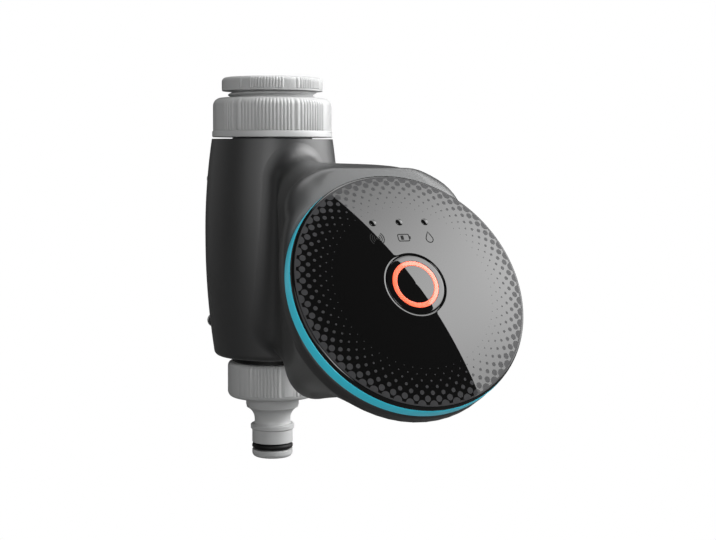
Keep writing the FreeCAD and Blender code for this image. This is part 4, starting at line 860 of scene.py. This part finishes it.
def gloss(name, colour):
    """A hard plastic under a clear polished coat."""
    material, nodes, links, shader = new_material(name)
    shader.inputs["Base Color"].default_value = (*colour, 1.0)
    shader.inputs["Roughness"].default_value = 0.3
    shader.inputs["Specular IOR Level"].default_value = 0.0
    shader.inputs["Coat Weight"].default_value = 1.0
    shader.inputs["Coat Roughness"].default_value = 0.008
    shader.inputs["Coat IOR"].default_value = 1.5
    waves = bump(nodes, links, noise(nodes, links, scale=60.0), distance=0.0006 * MM)
    links.new(waves, shader.inputs["Coat Normal"])
    return material


black_gloss = gloss("black_gloss", PANEL_BLACK)
printed = gloss("printed_panel", PANEL_BLACK)
tree = printed.node_tree


def maths(operation, *values):
    """A maths node over sockets and numbers, in the tree at hand; returns its result."""
    step = tree.nodes.new("ShaderNodeMath")
    step.operation = operation
    for i, entry in enumerate(values):
        if isinstance(entry, (int, float)):
            step.inputs[i].default_value = entry
        else:
            tree.links.new(entry, step.inputs[i])
    return step.outputs[0]


def map_place(name):
    """The two coordinates of a piece's map, in the tree at hand."""
    place = tree.nodes.new("ShaderNodeUVMap")
    place.uv_map = name
    parts = tree.nodes.new("ShaderNodeSeparateXYZ")
    tree.links.new(place.outputs["UV"], parts.inputs[0])
    return parts.outputs["X"], parts.outputs["Y"]


across, up = map_place("face")
from_middle = maths("SQRT", maths("ADD", maths("MULTIPLY", across, across), maths("MULTIPLY", up, up)))
inwards = maths("DIVIDE", maths("SUBTRACT", DOT_RINGS_START, from_middle), DOT_STEP)
turn = maths("MULTIPLY", maths("ARCTAN2", up, across), DOT_COUNT / (2 * math.pi))


def dot(row):
    """How much ink the nearest dot of a staggered row puts on this place, from 0 to 1."""
    stagger = maths("MULTIPLY", maths("MODULO", maths("ADD", row, 2.0), 2.0), 0.5)
    cell = maths("SUBTRACT", maths("FRACT", maths("ADD", turn, maths("ADD", stagger, DOT_COUNT))), 0.5)
    sideways = maths("MULTIPLY", cell, maths("MULTIPLY", from_middle, 2 * math.pi / DOT_COUNT))
    lengthways = maths("MULTIPLY", maths("SUBTRACT", inwards, row), DOT_STEP)
    away = maths("SQRT", maths("ADD", maths("MULTIPLY", sideways, sideways),
                               maths("MULTIPLY", lengthways, lengthways)))
    size = maths("MULTIPLY", maths("POWER", DOT_SHRINK, row), DOT_LARGEST)
    amount = maths("DIVIDE", maths("SUBTRACT", size, away), DOT_EDGE)
    covered = maths("MINIMUM", maths("MAXIMUM", amount, 0.0), 1.0)
    return maths("MULTIPLY", covered, maths("LESS_THAN", row, DOT_ROWS))


outer_row = maths("FLOOR", inwards)
inked = maths("MULTIPLY", maths("MAXIMUM", dot(outer_row), dot(maths("ADD", outer_row, 1.0))),
              maths("LESS_THAN", from_middle, DOT_LIMIT))
matte = maths("SUBTRACT", 1.0, maths("MULTIPLY", inked, DOT_MATTE))
tree.links.new(matte, tree.nodes["Principled BSDF"].inputs["Coat Weight"])
ink = tree.nodes.new("ShaderNodeMix")
ink.data_type = "RGBA"
ink.inputs["A"].default_value = (*PANEL_BLACK, 1)
ink.inputs["B"].default_value = (*INK_GREY, 1)
tree.links.new(inked, ink.inputs["Factor"])
tree.links.new(ink.outputs["Result"], tree.nodes["Principled BSDF"].inputs["Base Color"])
wear(printed, panel)

# Status windows: three small dark lenses on stems, which lead the light of the board's three lamps
# out through the panel. They are pushed in from behind and stand a little out of the gloss.
WINDOW_PITCH = 9.25
WINDOW_LEVEL = 21.8
WINDOW_RADIUS = 1.25
WINDOW_RISE = 0.55
PIPE_RADIUS = 0.95
PIPE_FOOT = -3.6
LENS_STEPS = 32


def lens(bm, x, v):
    """A lens on a short stem, at a place on the face."""
    base = crown(math.hypot(x, v))
    line = [(PIPE_RADIUS, PIPE_FOOT), (PIPE_RADIUS, base - 0.25), (WINDOW_RADIUS, base - 0.22)]
    for degrees in range(0, 90, 12):
        a = math.radians(degrees)
        line.append((WINDOW_RADIUS * math.cos(a), base - 0.05 + WINDOW_RISE * math.sin(a)))
    rings = [[bm.verts.new(on_face((x + across) * MM, (v + up) * MM, s * MM))
              for across, up in circle_places(radius, LENS_STEPS)] for radius, s in line]
    for lower, upper in zip(rings, rings[1:]):
        for j in range(LENS_STEPS):
            k = (j + 1) % LENS_STEPS
            bm.faces.new((lower[j], lower[k], upper[k], upper[j]))
    bm.faces.new(rings[-1])
    bm.faces.new(list(reversed(rings[0])))


lenses = bmesh.new()
for i in (-1, 0, 1):
    lens(lenses, i * WINDOW_PITCH, WINDOW_LEVEL)
windows_mesh = settled(lenses, bpy.data.meshes.new("status_windows"))
windows = put("status_windows", windows_mesh, "control_unit", "light_pipes")
wear(black_gloss, windows)

# Printed marks under the windows: a wireless sign, a battery and a drop, in thin lines of dark grey
# ink on the gloss.
MARK_LEVEL = 16.2
MARK_LINE = 0.3
MARK_LIFT = 0.03
WAVE_RADII = (0.95, 1.65, 2.35)
WAVE_DOT = 0.22
BATTERY_HALF_LENGTH = 1.5
BATTERY_HALF_HEIGHT = 0.75
BATTERY_CORNER = 0.45
DROP_RADIUS = 1.25


def stroke(bm, places, width=MARK_LINE, closed=False):
    """A thin printed line through (x, v) places on the dome."""
    count = len(places)
    sides = []
    for i, here in enumerate(places):
        before = Vector(places[i - 1] if i or closed else here)
        after = Vector(places[(i + 1) % count] if i < count - 1 or closed else here)
        along = (after - before).normalized()
        across = Vector((-along.y, along.x)) * width / 2
        pair = []
        for sign in (1, -1):
            spot = Vector(here) + across * sign
            level = crown(spot.length) + MARK_LIFT
            pair.append(bm.verts.new(on_face(spot.x * MM, spot.y * MM, level * MM)))
        sides.append(pair)
    for i in range(count if closed else count - 1):
        a = sides[i]
        b = sides[(i + 1) % count]
        bm.faces.new((a[0], a[1], b[1], b[0]))


def arc_places(x, v, radius, start, end, steps=12):
    """Places along an arc on the face, in millimetres and degrees."""
    turns = [math.radians(start + (end - start) * i / steps) for i in range(steps + 1)]
    return [(x + radius * math.cos(a), v + radius * math.sin(a)) for a in turns]


ink_lines = bmesh.new()
for radius in WAVE_RADII:
    stroke(ink_lines, arc_places(-WINDOW_PITCH, MARK_LEVEL, radius, -50, 50))
    stroke(ink_lines, arc_places(-WINDOW_PITCH, MARK_LEVEL, radius, 130, 230))
stroke(ink_lines, arc_places(-WINDOW_PITCH, MARK_LEVEL, WAVE_DOT, 0, 360))
battery = []
for side, over, first in ((1, 1, 90), (1, -1, 0), (-1, -1, 270), (-1, 1, 180)):
    battery += arc_places(side * BATTERY_HALF_LENGTH, MARK_LEVEL + over * BATTERY_HALF_HEIGHT,
                          BATTERY_CORNER, first, first - 90, 4)
stroke(ink_lines, battery, closed=True)
stroke(ink_lines, [(2.3, MARK_LEVEL + 0.45), (2.3, MARK_LEVEL - 0.45)], 0.35)
stroke(ink_lines, [(-1.0, MARK_LEVEL), (0.0, MARK_LEVEL)], 1.5)
drop = arc_places(WINDOW_PITCH, MARK_LEVEL - 0.6, DROP_RADIUS, 155, 385, 20)
drop += [(WINDOW_PITCH + 0.55, MARK_LEVEL + 1.1), (WINDOW_PITCH, MARK_LEVEL + 2.0),
         (WINDOW_PITCH - 0.55, MARK_LEVEL + 1.1)]
stroke(ink_lines, drop, closed=True)
marks_mesh = settled(ink_lines, bpy.data.meshes.new("printed_marks"))
marks = put("printed_marks", marks_mesh, "control_unit")
mark_grey = moulded("mark_grey", (0.03, 0.03, 0.03), 0.6, grain=0.0, spread=0.02)
tune(mark_grey, "Specular IOR Level", 0.0)
wear(mark_grey, marks)

# Button: a gloss black cap that follows the dome and slides in the panel's hole, with a lip behind
# that keeps it in and a post that presses the pad. An orange light ring is let into its face.
BUTTON_RADIUS = 10.0
LIGHT_OUTER = 7.9
LIGHT_INNER = 6.3
LIGHT_DEPTH = 1.2
LIP_RADIUS = 11.0
LIP_LEVEL = crown(LIP_RADIUS, PANEL_THICKNESS) - 0.05
POST_RADIUS = 2.2
POST_FOOT = -0.5
AXIS_GAP = 0.02
CAP_INNER = 9.4
SKIN_LEVEL = crown(0.0) - 2.6
groove = crown(LIGHT_OUTER) - LIGHT_DEPTH
cap_line = [(AXIS_GAP, POST_FOOT), (POST_RADIUS, POST_FOOT), (POST_RADIUS, SKIN_LEVEL),
            (CAP_INNER, SKIN_LEVEL), (CAP_INNER, LIP_LEVEL - 1.0), (LIP_RADIUS, LIP_LEVEL - 1.0),
            (LIP_RADIUS, LIP_LEVEL), (BUTTON_RADIUS, LIP_LEVEL)]
cap_line += [(r, crown(r) - sink) for r, sink in (
    (BUTTON_RADIUS, 0.45), (9.93, 0.2), (9.78, 0.08), (9.58, 0.02), (9.2, 0.0), (8.4, 0.0))]
cap_line += [(LIGHT_OUTER + 0.08, crown(8.0)), (LIGHT_OUTER, crown(LIGHT_OUTER) - 0.08),
             (LIGHT_OUTER, groove), (LIGHT_INNER, groove),
             (LIGHT_INNER, crown(LIGHT_INNER) - 0.08), (LIGHT_INNER - 0.08, crown(6.2))]
cap_line += [(r, crown(r)) for r in (5.0, 3.4, 1.8)] + [(AXIS_GAP, crown(0.0))]
cap = put("button_skin", face_turned("button_skin", cap_line, 160), "button", "button_cap")
wear(black_gloss, cap)
glow_line = [(LIGHT_INNER, groove), (LIGHT_OUTER, groove), (LIGHT_OUTER, crown(LIGHT_OUTER) - 0.12),
             (LIGHT_OUTER - 0.1, crown(LIGHT_OUTER) - 0.03), (7.4, crown(7.4) - 0.01),
             (6.8, crown(6.8) - 0.01), (LIGHT_INNER + 0.1, crown(LIGHT_INNER) - 0.03),
             (LIGHT_INNER, crown(LIGHT_INNER) - 0.12)]
glow_ring = put("ring_light_skin", face_turned("ring_light_skin", glow_line, 160), "button", "light_ring")
# The orange material glows, though no lamp lights the ring: the glow is painted light that keeps its colour
# bright.
orange = moulded("orange", (0.95, 0.1, 0.03), 0.35, grain=0.0, spread=0.03, coat=0.6)
tune(orange, "Emission Color", (1.0, 0.115, 0.045, 1.0))
tune(orange, "Emission Strength", 0.75)
wear(orange, glow_ring)

# Rubber pieces, moulded in black: seals, gaskets, the o-ring, the diaphragm and the pad under the
# button. They are clamped or sit in grooves.
rubber = moulded("rubber", (0.006, 0.006, 0.006), 0.5, grain=0.004, grain_size=0.2)
tune(rubber, "Specular IOR Level", 0.2)
wear_nodes(rubber, "adapter_seal", "inlet_seal", "diaphragm", "outlet_gasket", "outlet_washer",
           "nipple_o_ring", "battery_seal", "button_pad")

# Black technical plastic, moulded: the valve, its bonnet and strainer, the bobbin and the small
# holders. The control unit's case and its battery cover are of the housing's anthracite.
valve_plastic = moulded("valve_plastic", (0.014, 0.014, 0.015), 0.34, grain=0.006, grain_size=0.3)
wear_nodes(valve_plastic, "valve_body", "inlet_strainer", "valve_bonnet", "coil_bobbin", "socket_block",
           "switch_body", "switch_stem", "diaphragm_plate")
wear_nodes(anthracite, "unit_case", "battery_cover")

# Metal pieces: steel screws, clip, springs, yoke, core and plunger, the copper winding with its
# leads, the plated pins, and the plastic sleeves of the cells.
METAL_MARKS = 220.0
ROUGH_LEAST = 0.8
ROUGH_MOST = 1.25


def metal(name, colour, roughness):
    """A metal whose roughness varies in fine marks."""
    material, nodes, links, shader = new_material(name)
    shader.inputs["Base Color"].default_value = (*colour, 1.0)
    shader.inputs["Metallic"].default_value = 1.0
    spread = nodes.new("ShaderNodeMapRange")
    spread.inputs["To Min"].default_value = roughness * ROUGH_LEAST
    spread.inputs["To Max"].default_value = roughness * ROUGH_MOST
    links.new(noise(nodes, links, METAL_MARKS, detail=4.0), spread.inputs["Value"])
    links.new(spread.outputs["Result"], shader.inputs["Roughness"])
    return material


steel = metal("steel", (0.62, 0.62, 0.63), 0.28)
wear_nodes(steel, "rear_screws", "union_nut_clip", "bonnet_screws", "coil_yoke", "pole_core", "plunger",
           "plunger_spring", "diaphragm_spring", "board_screws", "battery_contacts", "radio_module")
wear_nodes(metal("copper", (0.72, 0.33, 0.18), 0.35), "coil_winding", "coil_leads")
wear_nodes(metal("plated", (0.8, 0.62, 0.3), 0.25), "plug_pins")
sleeve = moulded("cell_sleeve", (0.05, 0.055, 0.07), 0.3, grain=0.0, spread=0.1, coat=0.5)
wear_nodes(sleeve, "battery_1", "battery_2", "battery_3")

# Circuit board: green lacquered glass fibre, held in the case by three screws, with three small
# lamps soldered under the windows.
board_green = moulded("board_green", (0.008, 0.09, 0.035), 0.4, grain=0.002, grain_size=0.5, coat=0.4)
wear_nodes(board_green, "circuit_board")
lens_white = moulded("lens_white", (0.7, 0.7, 0.66), 0.25, grain=0.0, spread=0.02, coat=0.5)
wear_nodes(lens_white, "status_leds")

# Stage: a floor and backdrop that the camera sees as plain white, in a dark studio with soft cards.
# To the light the floor is dark and matt, so that the piece stands in no glare from below.
WHITE = (1.0, 1.0, 1.0, 1.0)
FLOOR_DARK = (0.12, 0.12, 0.12, 1)
TAIL_DROP = 26.0 * MM
FLOOR_LEVEL = cad_box[0][2] - TAIL_DROP
FLOOR_HALF = 6.0
SQUARE = ((0, 0), (1, 0), (1, 1), (0, 1))


def sheet(name, corner, across, up):
    """A flat sheet of the stage, from one corner along two sides."""
    mesh = bpy.data.meshes.new(name)
    mesh.from_pydata([corner + across * a + up * b for a, b in SQUARE], [], [(0, 1, 2, 3)])
    return placed(name, mesh)


def split_for_camera(tree, others, camera_sees, surface):
    """Show the camera one shader, and everything else another."""
    path = tree.nodes.new("ShaderNodeLightPath")
    pick = tree.nodes.new("ShaderNodeMixShader")
    tree.links.new(path.outputs["Is Camera Ray"], pick.inputs["Fac"])
    tree.links.new(others, pick.inputs[1])
    tree.links.new(camera_sees, pick.inputs[2])
    tree.links.new(pick.outputs["Shader"], surface)


world = bpy.data.worlds.new("studio")
bpy.context.scene.world = world
world.use_nodes = True
sky_nodes = world.node_tree.nodes
dim = sky_nodes["Background"]
dim.inputs["Color"].default_value = WHITE
dim.inputs["Strength"].default_value = 0.05
seen = sky_nodes.new("ShaderNodeBackground")
seen.inputs["Color"].default_value = WHITE
split_for_camera(world.node_tree, dim.outputs["Background"], seen.outputs["Background"],
                 sky_nodes["World Output"].inputs["Surface"])

floor = sheet("floor", Vector((-FLOOR_HALF, -FLOOR_HALF, FLOOR_LEVEL)),
              Vector((2 * FLOOR_HALF, 0.0, 0.0)), Vector((0.0, 2 * FLOOR_HALF, 0.0)))
white, floor_nodes, _, floor_shader = new_material("floor_white")
tune(white, "Base Color", FLOOR_DARK)
tune(white, "Roughness", 0.9)
tune(white, "Specular IOR Level", 0.0)
floor_glow = floor_nodes.new("ShaderNodeEmission")
split_for_camera(white.node_tree, floor_shader.outputs["BSDF"], floor_glow.outputs["Emission"],
                 floor_nodes["Material Output"].inputs["Surface"])
wear(white, floor)

# Key card: a large glowing card up and to the right. Its near edge is what cuts the panel's
# reflection in two, so the card is placed by that edge, close to the way in which the panel's middle
# mirrors the camera's view. It is brightest a little below its middle.
MIRROR_WAY = Vector((0.48479, -0.54367, 0.68513))
CARD_ACROSS = Vector((-MIRROR_WAY.y, MIRROR_WAY.x, 0.0)).normalized()
CARD_UP = MIRROR_WAY.cross(CARD_ACROSS)
CARD_DISTANCE = 0.8
CARD_WIDTH = 0.85
CARD_HEIGHT = 1.1
CARD_STRENGTH = 8.4
CARD_SHIFT = 2.5 * MM
CARD_BRIGHTEST = 0.42
CARD_FALL = 9.216
CARD_LEAST = 0.25
card_edge = FACE_MIDDLE + MIRROR_WAY * CARD_DISTANCE - CARD_ACROSS * CARD_SHIFT
card = sheet("key_card", card_edge - CARD_UP * CARD_HEIGHT / 2,
             CARD_ACROSS * CARD_WIDTH, CARD_UP * CARD_HEIGHT)
card_map = card.data.uv_layers.new(name="card")
for loop, spot in zip(card.data.loops, SQUARE):
    card_map.data[loop.index].uv = spot
shine, card_nodes, card_links, unused_shader = new_material("key_shine")
card_nodes.remove(unused_shader)
tree = shine.node_tree
card_glow = card_nodes.new("ShaderNodeEmission")
off_brightest = maths("SUBTRACT", map_place("card")[1], CARD_BRIGHTEST)
fall = maths("EXPONENT", maths("MULTIPLY", maths("MULTIPLY", off_brightest, off_brightest), -CARD_FALL))
strength = maths("ADD", maths("MULTIPLY", fall, 1 - CARD_LEAST), CARD_LEAST)
card_links.new(maths("MULTIPLY", strength, CARD_STRENGTH), card_glow.inputs["Strength"])
card_links.new(card_glow.outputs["Emission"], card_nodes["Material Output"].inputs["Surface"])
wear(shine, card)

# Soft lamps: one narrow strip in front for the barrel's highlight, and broad ones all round.
MIDDLE = Vector((0.0, -0.06, -0.07))


def softbox(name, place, width, height, strength):
    """A rectangular light aimed at the part's middle; its strength is its brightness, not its power."""
    data = bpy.data.lights.new(name, "AREA")
    data.shape = "RECTANGLE"
    data.size = width
    data.size_y = height
    data.energy = strength * math.pi * width * height
    lamp = placed(name, data)
    lamp.location = place
    lamp.rotation_euler = (MIDDLE - Vector(place)).to_track_quat("-Z", "Y").to_euler()


softbox("front", (-0.46, -0.99, -0.14), 0.3, 0.8, 7.0)
softbox("right", (1.2, -0.2, 0.2), 1.0, 1.0, 3.4)
softbox("left", (-0.75, 0.9, 0.1), 1.2, 1.2, 0.25)
softbox("fill", (-1.0, -0.8, 0.3), 1.0, 1.0, 0.9)
softbox("top", (0.3, 0.25, 1.2), 0.9, 0.7, 4.0)

bpy.context.scene.view_settings.view_transform = "Standard"
